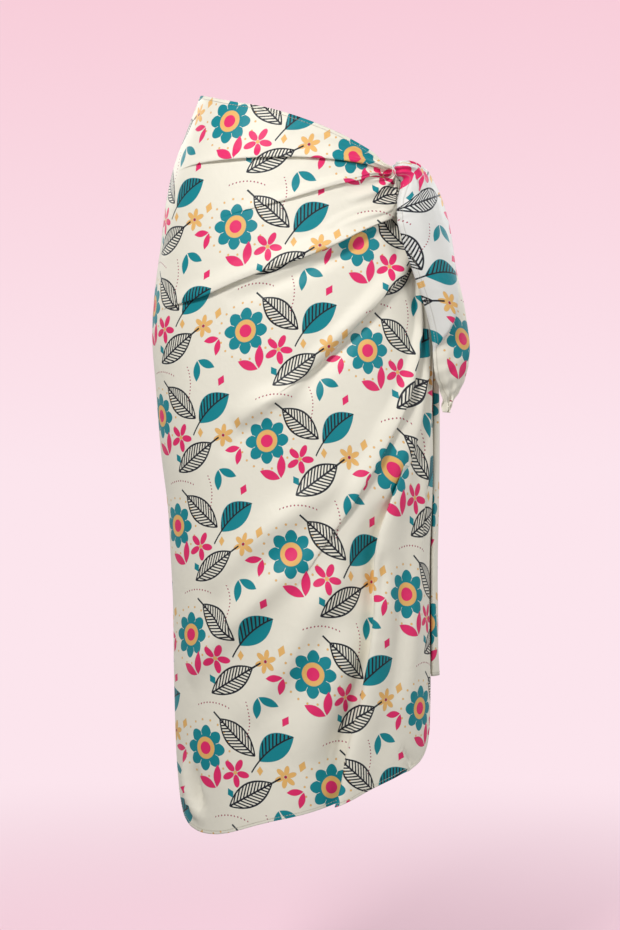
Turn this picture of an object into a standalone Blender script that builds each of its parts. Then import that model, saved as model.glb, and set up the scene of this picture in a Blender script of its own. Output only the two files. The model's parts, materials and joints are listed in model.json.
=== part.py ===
"""Sarong: one rectangle of thin cloth wound round the hips, its two upper corners tied at one hip.

The garment keeps its worn, hollow form. Its front faces -Y, +X is at the viewer's right and +Z is up.
The origin is the middle of the waist opening. Lengths below are millimetres. An angle is in degrees round
the body from the middle of the front, growing towards the viewer's right.
"""

import bpy
import numpy as np

MM = 0.001

# Driving dimensions
CLOTH_WALL = 2.2
SEAM_GAP = 0.3
SEAM_ANGLE = -92.0
FULL_TURN = 360.0
UNDER_DROP = 3.2
UNDER_FROM_ANGLE = 84.0
UNDER_TO_ANGLE = 100.0
KNOT_ANGLE = 57.0
KNOT_HEIGHT = -67.0
KNOT_REACH = 14.0
KNOT_HALF_HEIGHT = 17.0
KNOT_DEPTH = 18.0
KNOT_LEAST_DEPTH = 3.2
KNOT_END_SHARE = 0.1
KNOT_BLUNTNESS = 3.2
KNOT_LEAN = 3.0
KNOT_LOBES = 3
KNOT_LOBE_SHARE = 0.07
KNOT_LOBE_TWIST = 2.2
GATHER_ANGLE_REACH = 3.8
GATHER_HEIGHT_REACH = 11.0

# Form of the worn cloth: height, reach to the left, reach to the right, depth in front, depth behind
FORM = np.array((
    (-1000, 157, 176, 118, 113),
    (-900, 167, 184, 117, 112),
    (-760, 173, 187, 116, 112),
    (-600, 177, 187, 116, 114),
    (-530, 182, 189, 116, 117),
    (-450, 192, 190, 117, 122),
    (-360, 199, 190, 118, 128),
    (-280, 204, 189, 119, 132),
    (-230, 201, 186, 119, 130),
    (-160, 192, 178, 117, 120),
    (-100, 184, 166, 112, 108),
    (-50, 173, 152, 106, 98),
    (0, 155, 136, 98, 92),
    (60, 132, 114, 90, 87),
), float)

# Top edge: angle, height
TOP_EDGE = np.array((
    (-92, 46), (-82, 45), (-34, 26), (-12, 15), (10, -2), (26, -18), (43, -39), (54, -54), (66, -68),
    (75, -74), (90, -76), (105, -74), (119, -66), (137, -41), (154, -20), (170, -3), (192, 13), (214, 26),
    (240, 39), (268, 46),
), float)

# Lower edge of the front stretch, then of the back stretch: angle, height
FRONT_HEM = np.array((
    (-92, -905), (-86, -926), (-81, -946), (-73, -961), (-62, -970), (-47, -972), (-16, -950), (14, -928),
    (30, -909), (48, -892), (65, -878), (74, -864), (79, -852), (82.5, -836),
), float)
BACK_HEM = np.array((
    (50, -760), (62, -775), (80, -806), (90, -824), (100, -840), (120, -865), (150, -893), (180, -912),
    (214, -922), (240, -916), (268, -905),
), float)

# Fold lines of the front stretch, from the knot outwards: name, place round the knot, angles and heights
FRONT_LINES = (
    ("top_edge", 105, ()),
    ("upper_gather", 150, (
        (47, -64), (34, -58), (14, -53), (-9, -52), (-30, -54), (-48, -57), (-70, -64), (-92, -70)
    )),
    ("middle_gather", 180, (
        (50, -74), (41, -75), (30, -83), (21, -89), (8, -101), (-2, -111), (-13, -120), (-45, -142),
        (-92, -168)
    )),
    ("cross_fold", 215, (
        (54, -104), (49, -125), (39, -137), (28, -151), (15, -172), (4, -187), (-7, -199),
        (-21, -216), (-38, -237), (-55, -250), (-72, -258), (-92, -262)
    )),
    ("hip_fold", 240, (
        (58, -125), (57, -165), (52, -201), (46, -216), (40, -231), (34, -251), (27, -273),
        (21, -293), (12, -323), (4, -348), (-4, -368), (-30, -430), (-60, -515), (-92, -620)
    )),
    ("corner_line", 255, (
        (60, -125), (60, -180), (58, -240), (54, -285), (48, -322), (41, -352), (33, -385),
        (22, -420), (8, -462), (-10, -522), (-35, -612), (-65, -745), (-92, -905)
    )),
    ("diagonal_fold", 270, (
        (62, -130), (63, -190), (63, -242), (62, -281), (60, -304), (57, -333), (52, -367),
        (47, -397), (40, -432), (34, -464), (27, -496), (21, -526), (13, -562), (5, -600),
        (-15, -690), (-38, -810), (-60, -969)
    )),
    ("long_fold", 290, (
        (64.5, -130), (66.5, -190), (68, -241), (68.5, -290), (67, -342), (62.5, -380), (58, -421),
        (52, -458), (47, -489), (41, -530), (36.5, -562), (34.5, -590), (34, -626), (33.5, -665),
        (31, -715), (28.5, -760), (25, -807), (20.5, -853), (17, -907), (15, -928)
    )),
    ("side_pleat", 310, (
        (68, -130), (71.5, -190), (73.5, -241), (74.5, -296), (74, -370), (71, -434), (69, -484),
        (67.5, -531), (66, -610), (63, -700), (58, -800), (54, -886)
    )),
    ("free_edge", 330, (
        (72, -130), (76.5, -190), (79, -241), (81, -296), (82, -379), (82.5, -476), (80.5, -560),
        (81, -640), (80, -712), (81, -780), (82.5, -836)
    )),
)

# Folds on those lines: line, height and width of a crest on its near side, then of one on its far side,
# and the distances from the knot where the fold starts, is full, starts to fade and has gone
FRONT_FOLDS = (
    ("upper_gather", 5.0, 20, 0, 1, 8, 45, 170, 300),
    ("middle_gather", 4.5, 18, 0, 1, 8, 45, 120, 220),
    ("cross_fold", 8.0, 30, 0, 1, 12, 60, 270, 420),
    ("hip_fold", 9.0, 34, 0, 1, 60, 140, 270, 400),
    ("diagonal_fold", 7.0, 30, 0, 1, 120, 230, 430, 640),
    ("long_fold", 8.0, 30, 0, 1, 120, 250, 420, 560),
    ("long_fold", 0, 1, 8.0, 42, 400, 540, 2000, 2001),
    ("side_pleat", 3.5, 16, 0, 1, 120, 220, 380, 560),
)

# Fold lines of the back stretch, from the knot outwards, and its folds, with the same columns
BACK_LINES = (
    ("top_edge", 60, ()),
    ("high_gather", 20, (
        (74, -86), (90, -101), (112, -104), (140, -94), (170, -80), (210, -70), (268, -70)
    )),
    ("waist_gather", -5, (
        (74, -102), (88, -128), (106, -146), (130, -158), (165, -164), (210, -164), (268, -168)
    )),
    ("seat_fold", -25, (
        (72, -118), (82, -158), (96, -200), (118, -238), (150, -260), (190, -266), (232, -264),
        (268, -262)
    )),
    ("low_fold", -40, (
        (70, -135), (77, -200), (87, -280), (102, -370), (126, -450), (162, -522), (210, -580),
        (268, -620)
    )),
    ("corner_line", -52, (
        (68, -150), (73, -240), (81, -345), (95, -470), (120, -600), (160, -730), (215, -835),
        (268, -905)
    )),
    ("fall_fold", -62, (
        (66, -160), (70, -260), (76, -380), (85, -520), (99, -660), (122, -790), (150, -893)
    )),
    ("side_fall", -75, (
        (64, -160), (67, -260), (71, -380), (76, -530), (83, -690), (92, -827)
    )),
    ("free_edge", -90, (
        (61, -160), (59, -260), (57, -380), (55, -530), (53, -690), (52, -763)
    )),
)
BACK_FOLDS = (
    ("high_gather", 4.5, 20, 0, 1, 60, 110, 190, 330),
    ("waist_gather", 5.0, 24, 0, 1, 60, 120, 240, 400),
    ("seat_fold", 7.0, 32, 0, 1, 165, 230, 330, 480),
    ("low_fold", 6.0, 34, 0, 1, 350, 430, 530, 680),
)

# Rows of the hanging corner: inner edge x, y, z, outer edge x, y, z, half depth, crown, front lobe's end
EAR_ROWS = np.array((
    (141.2, -86, -80, 140, -81.6, -56, 3.0, 3.0, 3.0),
    (141.5, -91, -89, 154.3, -63.3, -57, 3.2, 4.5, 3.0),
    (138, -96, -101, 170, -47, -63, 3.6, 6.0, 2.6),
    (135, -99, -115, 182, -36, -79, 4.0, 7.0, 2.2),
    (134, -101, -130, 192, -30, -97, 4.4, 7.5, 1.8),
    (135, -102, -145, 200, -27, -119, 4.6, 8.0, 1.4),
    (140, -101, -163, 207, -25, -148, 4.8, 8.0, 1.0),
    (148, -97, -187, 214, -25, -182, 5.0, 8.0, 0.8),
    (157, -91, -214, 221, -25, -214, 5.0, 8.0, 0.6),
    (168, -82, -243, 228, -25, -243, 5.0, 7.5, 0.4),
    (177, -73, -273, 233, -25, -272, 5.0, 7.0, 0.0),
    (183, -66, -303, 237, -25, -301, 4.8, 6.5, -0.7),
    (185, -64, -326, 236, -25, -324, 4.6, 6.0, -1.4),
    (188, -59, -346, 231, -25, -347, 4.2, 5.5, -2.0),
    (195, -46, -363, 224, -26, -364, 3.8, 3.5, -2.6),
    (200, -38, -377, 216, -27, -377, 3.2, 2.0, -3.0),
    (201, -35, -387, 212, -28, -387, 2.9, 1.2, -3.0),
    (201, -34, -396, 209, -29, -396, 2.7, 0.8, -3.0),
), float)
EAR_LOBE_STEP = 5.0
EAR_EDGE_DROP = 3.0
EAR_EDGE_SPAN = (-1.0, -0.4)

# Rows of the long fall at the side: height, angles of its front and rear edges, half depth, crown
FALL_ROWS = np.array((
    (-88, 67.5, 73, 2.2, 1.0),
    (-112, 73, 83, 2.3, 1.2),
    (-145, 77, 91, 2.4, 1.4),
    (-190, 80, 99, 2.5, 1.6),
    (-250, 83, 105, 2.5, 1.8),
    (-310, 84, 108, 2.5, 1.8),
    (-380, 84.5, 110, 2.5, 2.0),
    (-450, 84.5, 112, 2.5, 2.0),
    (-530, 84, 113, 2.5, 2.2),
    (-610, 83.5, 115, 2.6, 2.8),
    (-690, 83.5, 117, 2.8, 4.0),
    (-763, 84, 120, 3.0, 6.0),
), float)
FALL_CLEARANCE = 0.5
UNDER_LAYER_SHARE = 0.65
LOBE_SOFTNESS = 0.22

# Fineness of the grids; fills are the plain rays in each strip between two fold lines
FRONT_STEPS = 28
FRONT_FILLS = (1, 1, 1, 2, 2, 3, 1, 2, 2)
BACK_STEPS = 21
BACK_FILLS = (1, 1, 1, 2, 3, 5, 3, 2)
EDGE_SAMPLES = 80
RAY_CROWDING = 1.3
TAIL_COLUMNS = 17
TAIL_ROWS = 24
FALL_COLUMNS = 13
FALL_STEPS = 20
KNOT_ROUND = 20
KNOT_ALONG = 13

# The top edge leaves the knot over these degrees, and the hem bends the rays by this power of their length
EDGE_SETTLES = 12.0
HEM_POWER = 4

# Shares and distances at which rays are laid in the strip between two fold lines
NEAR_LINE = (7.0, 0.08)
SLOPE_SHARES = (1.0, 0.55)
CRISP_ROLL = (0.0, 0.35, 0.65, 1.0)
SOFT_ROLL = (0.0, 1.0)
CRISP_HEIGHT = 6.5
STEP_SPAN = 4.0
STEP_SPAN_SHARE = 0.25
STEEPEST_STEP = 2.0
SLOPE_ROOM = 0.62
CREST_ROOM = 0.4
ROOM_FOR_FOLDS = (4.0, 9.0)
LEAST_GAP = 0.5
SHARP_EDGE = 60.0


def smooth_curve(at, xs, ys):
    """A cubic curve through the points (xs, ys), read at the places in at."""
    xs = np.asarray(xs, float)
    ys = np.asarray(ys, float)
    slopes = np.gradient(ys, xs)
    first = np.clip(np.searchsorted(xs, at) - 1, 0, len(xs) - 2)
    width = xs[first + 1] - xs[first]
    share = np.clip((at - xs[first]) / width, 0, 1)
    start_pull = share * (1 - share) ** 2 * width * slopes[first]
    end_pull = share ** 2 * (share - 1) * width * slopes[first + 1]
    blend = share ** 2 * (3 - 2 * share)
    return ys[first] * (1 - blend) + ys[first + 1] * blend + start_pull + end_pull


def ease(low, high, value):
    """Rises smoothly from 0 at low to 1 at high."""
    share = np.clip((value - low) / (high - low), 0, 1)
    return share ** 2 * (3 - 2 * share)


def form_point(angle, height, lift=0.0):
    """Points on the worn form, moved out from it by lift."""
    angle, height = np.broadcast_arrays(angle, height)
    left, right, front, behind = (smooth_curve(height, FORM[:, 0], column) for column in FORM.T[1:])
    turn = np.radians(angle)
    half_width = (left + right) / 2
    depth = np.where(np.cos(turn) > 0, front, behind)
    x = (right - left) / 2 + half_width * np.sin(turn)
    y = -depth * np.cos(turn)
    out = np.stack((np.sin(turn) / half_width, -np.cos(turn) / depth, np.zeros_like(x)), axis=-1)
    out /= np.linalg.norm(out, axis=-1, keepdims=True)
    return np.stack((x, y, height), axis=-1) + out * np.asarray(lift)[..., None]


def under_drop(angle):
    """How far the back stretch sinks where the front stretch lies over it."""
    return -UNDER_DROP * (1 - ease(UNDER_FROM_ANGLE, UNDER_TO_ANGLE, angle))


def line_curve(line, shares, end_angle):
    """Angles and heights along one fold line, and the distance from the knot, at the given shares."""
    name, place, rows = line
    start_angle = KNOT_ANGLE + GATHER_ANGLE_REACH * np.cos(np.radians(place))
    start_height = KNOT_HEIGHT + GATHER_HEIGHT_REACH * np.sin(np.radians(place))
    if name == "top_edge":
        angles = np.linspace(start_angle, end_angle, EDGE_SAMPLES)
        settled = ease(0, EDGE_SETTLES, np.abs(angles - start_angle))
        edge = smooth_curve(angles, TOP_EDGE[:, 0], TOP_EDGE[:, 1])
        rows = np.stack((angles, start_height * (1 - settled) + edge * settled), axis=-1)
    else:
        rows = np.array(((start_angle, start_height),) + rows)
    legs = np.linalg.norm(np.diff(form_point(rows[:, 0], rows[:, 1]), axis=0), axis=-1)
    along = np.concatenate(((0,), np.cumsum(legs)))
    reach = shares * along[-1]
    return smooth_curve(reach, along, rows[:, 0]), smooth_curve(reach, along, rows[:, 1]), reach


class Fan:
    """A stretch of cloth on rays that run out from the knot, with a fold along some of them."""

    def __init__(self, lines, folds, hem, end_angle, steps):
        self.shares = np.linspace(0, 1, steps) ** RAY_CROWDING
        self.names = [line[0] for line in lines]
        curves = [line_curve(line, self.shares, end_angle) for line in lines]
        self.angles = np.array([curve[0] for curve in curves])
        self.heights = np.array([curve[1] for curve in curves])
        self.reach = np.array([curve[2] for curve in curves])
        self.hem = hem
        self.gaps = self.measure_gaps()
        self.folds = [self.measure_fold(fold) for fold in folds]

    def measure_gaps(self):
        """Distance from each line to the next, square to it."""
        points = form_point(self.angles, self.heights)
        along = np.gradient(points, axis=1)
        along /= np.linalg.norm(along, axis=-1, keepdims=True)
        across = points[1:] - points[:-1]
        forward = np.sum(across * along[:-1], axis=-1, keepdims=True)
        return np.maximum(np.linalg.norm(across - forward * along[:-1], axis=-1), LEAST_GAP)

    def measure_fold(self, fold):
        """The heights and widths of one fold at each step along its line, no larger than it has room for."""
        name, height_before, width_before, height_after, width_after, start, full, fade, end = fold
        line = self.names.index(name)
        reach = self.reach[line]
        strength = ease(start, full, reach) * (1 - ease(fade, end, reach))
        room_before = self.gaps[line - 1]
        room_after = self.gaps[line]
        tallest = STEEPEST_STEP * self.step_span(line)
        strength = strength * ease(*ROOM_FOR_FOLDS, np.minimum(room_before, room_after))
        return {
            "line": line,
            "before": np.minimum.reduce((height_before * strength, CREST_ROOM * room_before, tallest)),
            "after": np.minimum.reduce((height_after * strength, CREST_ROOM * room_after, tallest)),
            "width_before": np.minimum(width_before, SLOPE_ROOM * room_before),
            "width_after": np.minimum(width_after, SLOPE_ROOM * room_after),
        }

    def step_span(self, line):
        """Width of the step down from a crest, beside its line."""
        before = self.gaps[max(line - 1, 0)]
        after = self.gaps[min(line, len(self.gaps) - 1)]
        return np.minimum(STEP_SPAN, STEP_SPAN_SHARE * np.minimum(before, after))

    def rise(self, strip, offset):
        """Height of the cloth in a strip at a distance from the line before it."""
        total = np.zeros_like(offset)
        for fold in self.folds:
            if fold["line"] == strip + 1:
                step = self.step_span(strip + 1) / 2
                near = np.clip((self.gaps[strip] - step - offset) / (fold["width_before"] - step), 0, 1)
                total += fold["before"] * (1 + np.cos(np.pi * near)) / 2
            if fold["line"] == strip:
                step = self.step_span(strip) / 2
                near = np.clip((offset - step) / (fold["width_after"] - step), 0, 1)
                total += fold["after"] * (1 + np.cos(np.pi * near)) / 2
        return total

    def place(self, line, offset, lift):
        """Angle, height and lift of one ray, at a distance from a line, towards the next where positive."""
        after = min(line, len(self.gaps) - 1)
        before = max(line - 1, 0)
        share_after = np.maximum(offset, 0) / self.gaps[after]
        share_before = np.maximum(-offset, 0) / self.gaps[before]
        angle = self.angles[line] + share_after * (self.angles[after + 1] - self.angles[after])
        angle = angle + share_before * (self.angles[before] - self.angles[before + 1])
        height = self.heights[line] + share_after * (self.heights[after + 1] - self.heights[after])
        height = height + share_before * (self.heights[before] - self.heights[before + 1])
        if line >= self.names.index("corner_line"):
            hem_height = smooth_curve(angle[-1:], self.hem[:, 0], self.hem[:, 1])
            height = height + (hem_height - height[-1]) * self.shares ** HEM_POWER
        return angle, height, lift

    def line_rays(self, line):
        """The rays on one line: the roll of its folds, or a single ray where it has none."""
        folds = [fold for fold in self.folds if fold["line"] == line]
        if not folds:
            return [self.place(line, 0 * self.shares, 0 * self.shares)]
        rays = []
        crisp = max(fold["before"].max() for fold in folds) > CRISP_HEIGHT
        for turn in CRISP_ROLL if crisp else SOFT_ROLL:
            offset = self.step_span(line) * (turn - 0.5)
            over = ease(0, 1, turn)
            lift = sum(fold["before"] * (1 - over) + fold["after"] * over for fold in folds)
            rays.append(self.place(line, offset, lift))
        return rays

    def strip_rays(self, strip, fills):
        """The rays between one line and the next."""
        gap = self.gaps[strip]
        near = np.minimum(NEAR_LINE[0], NEAR_LINE[1] * gap) + self.step_span(strip) / 2
        folds = [fold for fold in self.folds if fold["line"] == strip + 1 and fold["before"].max() > 0]
        slope = [gap - fold["width_before"] * share for fold in folds[:1] for share in SLOPE_SHARES]
        far = slope[0] if slope else gap
        filled = [near + (far - near) * i / (fills + 1) for i in range(fills + 1)]
        offsets = filled + slope
        return [self.place(strip, offset, self.rise(strip, offset)) for offset in offsets]

    def grid(self, fills, sink):
        """Middle surface of the cloth, ray by ray, and the directions square to it."""
        rays = []
        for line in range(len(self.names)):
            rays += self.line_rays(line)
            if line < len(self.names) - 1:
                rays += self.strip_rays(line, fills[line])
        angle, height, lift = (np.array([ray[column] for ray in rays]) for column in range(3))
        lift = lift - CLOTH_WALL / 2 + sink(angle)
        parts = (angle, height, lift)
        longer = [np.concatenate((part, 2 * part[:, -1:] - part[:, -2:-1]), axis=1) for part in parts]
        points = form_point(*longer)
        return points[:, :-1], square_to(points)[:, :-1]


def square_to(points):
    """Unit directions square to a grid of points."""
    normal = np.cross(np.gradient(points, axis=0), np.gradient(points, axis=1))
    return normal / np.linalg.norm(normal, axis=-1, keepdims=True)


def roll_section(half_width, depth, crown, columns):
    """A flat roll seen end on, open at one side: places across and out, and where it is the upper layer."""
    straight = 2 * half_width - depth
    turn = np.pi * depth
    reach = np.linspace(0, straight + turn + UNDER_LAYER_SHARE * straight, columns)
    side = np.clip((reach - straight) / depth, 0, np.pi)
    under = np.maximum(reach - straight - turn, 0)
    across = np.minimum(reach, straight) - half_width + depth * np.sin(side) - under
    upper = np.clip(1 - side / (np.pi / 2), 0, 1)
    out = depth * np.cos(side) + upper * crown * (1 - (across / half_width) ** 2)
    return across, out, upper


def ear_grid():
    """Middle surface of the hanging corner: a flat roll, open at its inner edge, with two lobes."""
    steps = np.linspace(0, len(EAR_ROWS) - 1, TAIL_ROWS)
    columns = [smooth_curve(steps, np.arange(len(EAR_ROWS)), column) for column in EAR_ROWS.T]
    inner, outer, shape = (np.stack(columns[first:first + 3], axis=-1) for first in (0, 3, 6))
    middle = (inner + outer) / 2
    side = (outer - inner) / 2
    half_width = np.linalg.norm(side, axis=-1)
    side /= half_width[:, None]
    out = np.cross(side, np.gradient(middle, axis=0))
    out *= np.sign(np.sum(out * middle * (1, 1, 0), axis=-1))[:, None]
    out /= np.linalg.norm(out, axis=-1, keepdims=True)
    points = []
    for i in range(TAIL_ROWS):
        depth, crown, lobe_end = shape[i]
        across, rise, upper = roll_section(half_width[i], depth, crown, TAIL_COLUMNS)
        flat = across / half_width[i]
        front_lobe = ease(-LOBE_SOFTNESS, LOBE_SOFTNESS, lobe_end - flat)
        rise += upper * EAR_LOBE_STEP * front_lobe * (1 - flat ** 2)
        rise -= upper * EAR_EDGE_DROP * (1 - ease(*EAR_EDGE_SPAN, flat))
        points.append(middle[i] + side[i] * across[:, None] + out[i] * rise[:, None])
    return np.array(points)


def fall_grid():
    """Middle surface of the long fall, which lies on the back stretch."""
    steps = np.linspace(0, len(FALL_ROWS) - 1, FALL_STEPS)
    columns = [smooth_curve(steps, np.arange(len(FALL_ROWS)), column) for column in FALL_ROWS.T]
    rows = np.stack(columns, axis=-1)
    points = []
    for height, front_angle, rear_angle, depth, crown in rows:
        middle_angle = (front_angle + rear_angle) / 2
        ends = form_point(np.array((front_angle, rear_angle)), height)
        half_width = np.linalg.norm(ends[1] - ends[0]) / 2
        across, out, _ = roll_section(half_width, depth, crown, FALL_COLUMNS)
        angle = middle_angle + across / half_width * (rear_angle - front_angle) / 2
        lift = out + depth + CLOTH_WALL / 2 + FALL_CLEARANCE
        points.append(form_point(angle, height, lift))
    return np.array(points)


def knot_grid():
    """Surface of the tied knot: a soft lump with turns of cloth round it, flat where the tail leaves it."""
    base, beside = form_point(np.array((KNOT_ANGLE, KNOT_ANGLE + 1)), KNOT_HEIGHT)
    across = (beside - base) / np.linalg.norm(beside - base)
    out = np.array((across[1], -across[0], 0.0))
    up = np.array((0.0, 0.0, 1.0))
    around = np.linspace(0, 2 * np.pi, KNOT_ROUND, endpoint=False)
    rings = []
    for share in np.linspace(-1, 1, KNOT_ALONG):
        fullness = KNOT_END_SHARE + (1 - KNOT_END_SHARE) * np.sqrt(1 - abs(share) ** KNOT_BLUNTNESS)
        lobes = fullness * (1 + KNOT_LOBE_SHARE * np.cos(KNOT_LOBES * around + KNOT_LOBE_TWIST * share))
        height = KNOT_HALF_HEIGHT * lobes * np.cos(around) + KNOT_LEAN * share
        depth = np.maximum(KNOT_DEPTH / 2 * (1 + lobes * np.sin(around)), KNOT_LEAST_DEPTH)
        rings.append(base + across * KNOT_REACH * share + np.outer(height, up) + np.outer(depth, out))
    return np.array(rings)


def cloth_material(name, colour, roughness):
    material = bpy.data.materials.new(name)
    material.use_nodes = True
    shader = material.node_tree.nodes["Principled BSDF"]
    shader.inputs["Base Color"].default_value = (*colour, 1.0)
    shader.inputs["Roughness"].default_value = roughness
    shader.inputs["Metallic"].default_value = 0.0
    return material


def add_object(name, points, faces, material):
    mesh = bpy.data.meshes.new(name)
    mesh.from_pydata((points.reshape(-1, 3) * MM).tolist(), [], faces)
    mesh.polygons.foreach_set("use_smooth", [True] * len(mesh.polygons))
    mesh.set_sharp_from_angle(angle=np.radians(SHARP_EDGE))
    mesh.materials.append(material)
    obj = bpy.data.objects.new(name, mesh)
    bpy.context.scene.collection.objects.link(obj)
    return obj


def wall_object(name, middle, normal, material):
    """A closed wall of the cloth's thickness about a grid of points, its outer face on normal's side."""
    outer = middle + normal * CLOTH_WALL / 2
    inner = middle - normal * CLOTH_WALL / 2
    rows, columns = middle.shape[:2]
    index = np.arange(rows * columns).reshape(rows, columns)
    back = index + rows * columns
    faces = []
    for i in range(rows - 1):
        for j in range(columns - 1):
            faces.append((index[i, j], index[i + 1, j], index[i + 1, j + 1], index[i, j + 1]))
            faces.append((back[i, j], back[i, j + 1], back[i + 1, j + 1], back[i + 1, j]))
    for i in range(rows - 1):
        faces.append((index[i + 1, 0], index[i, 0], back[i, 0], back[i + 1, 0]))
        faces.append((index[i, -1], index[i + 1, -1], back[i + 1, -1], back[i, -1]))
    for j in range(columns - 1):
        faces.append((index[0, j], index[0, j + 1], back[0, j + 1], back[0, j]))
        faces.append((index[-1, j + 1], index[-1, j], back[-1, j], back[-1, j + 1]))
    faces = [tuple(int(corner) for corner in face) for face in faces]
    points = np.concatenate((outer.reshape(-1, 3), inner.reshape(-1, 3)))
    return add_object(name, points, faces, material)


def lump_object(name, rings, material):
    """A closed solid skinned over rings of points, with its ends filled."""
    count, around = rings.shape[:2]
    faces = [tuple(range(around))[::-1], tuple(range((count - 1) * around, count * around))]
    for first in range(0, (count - 1) * around, around):
        for j in range(around):
            after = (j + 1) % around
            faces.append((first + j, first + after, first + around + after, first + around + j))
    return add_object(name, rings, faces, material)


def front_wrap(material):
    fan = Fan(FRONT_LINES, FRONT_FOLDS, FRONT_HEM, SEAM_ANGLE, FRONT_STEPS)
    middle, inward = fan.grid(FRONT_FILLS, lambda angle: 0 * angle)
    return wall_object("front_wrap", middle[::-1], -inward[::-1], material)


def back_wrap(material):
    fan = Fan(BACK_LINES, BACK_FOLDS, BACK_HEM, SEAM_ANGLE + FULL_TURN, BACK_STEPS)
    depth = smooth_curve(fan.heights, FORM[:, 0], FORM[:, 4])
    fan.angles = np.minimum(fan.angles, SEAM_ANGLE + FULL_TURN - np.degrees(SEAM_GAP / depth))
    middle, outward = fan.grid(BACK_FILLS, under_drop)
    return wall_object("back_wrap", middle, outward, material)


def clear_scene():
    for obj in list(bpy.data.objects):
        bpy.data.objects.remove(obj)


def build():
    clear_scene()
    outside = cloth_material("printed_cloth", (0.83, 0.78, 0.68), 0.5)
    tail_cloth = cloth_material("printed_cloth_tail", (0.86, 0.82, 0.76), 0.5)
    front_wrap(outside)
    back_wrap(outside)
    lump_object("knot", knot_grid(), tail_cloth)
    for name, middle in (("front_tail", ear_grid()), ("back_tail", fall_grid())):
        wall_object(name, middle, square_to(middle), tail_cloth)


build()
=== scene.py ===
"""Looks of the sarong: printed satin cloth wound round the hips, tied at one hip, on a plain pale floor.

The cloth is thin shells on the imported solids' form, with their folds and smaller creases. Lengths of the cloth
are in millimetres, and those of the print, the weave and the studio in metres. An angle is in degrees round the
body from the middle of the front, growing towards the viewer's right. A place seen from the front is given as
its distance to the right and its height.
"""

import json

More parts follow.
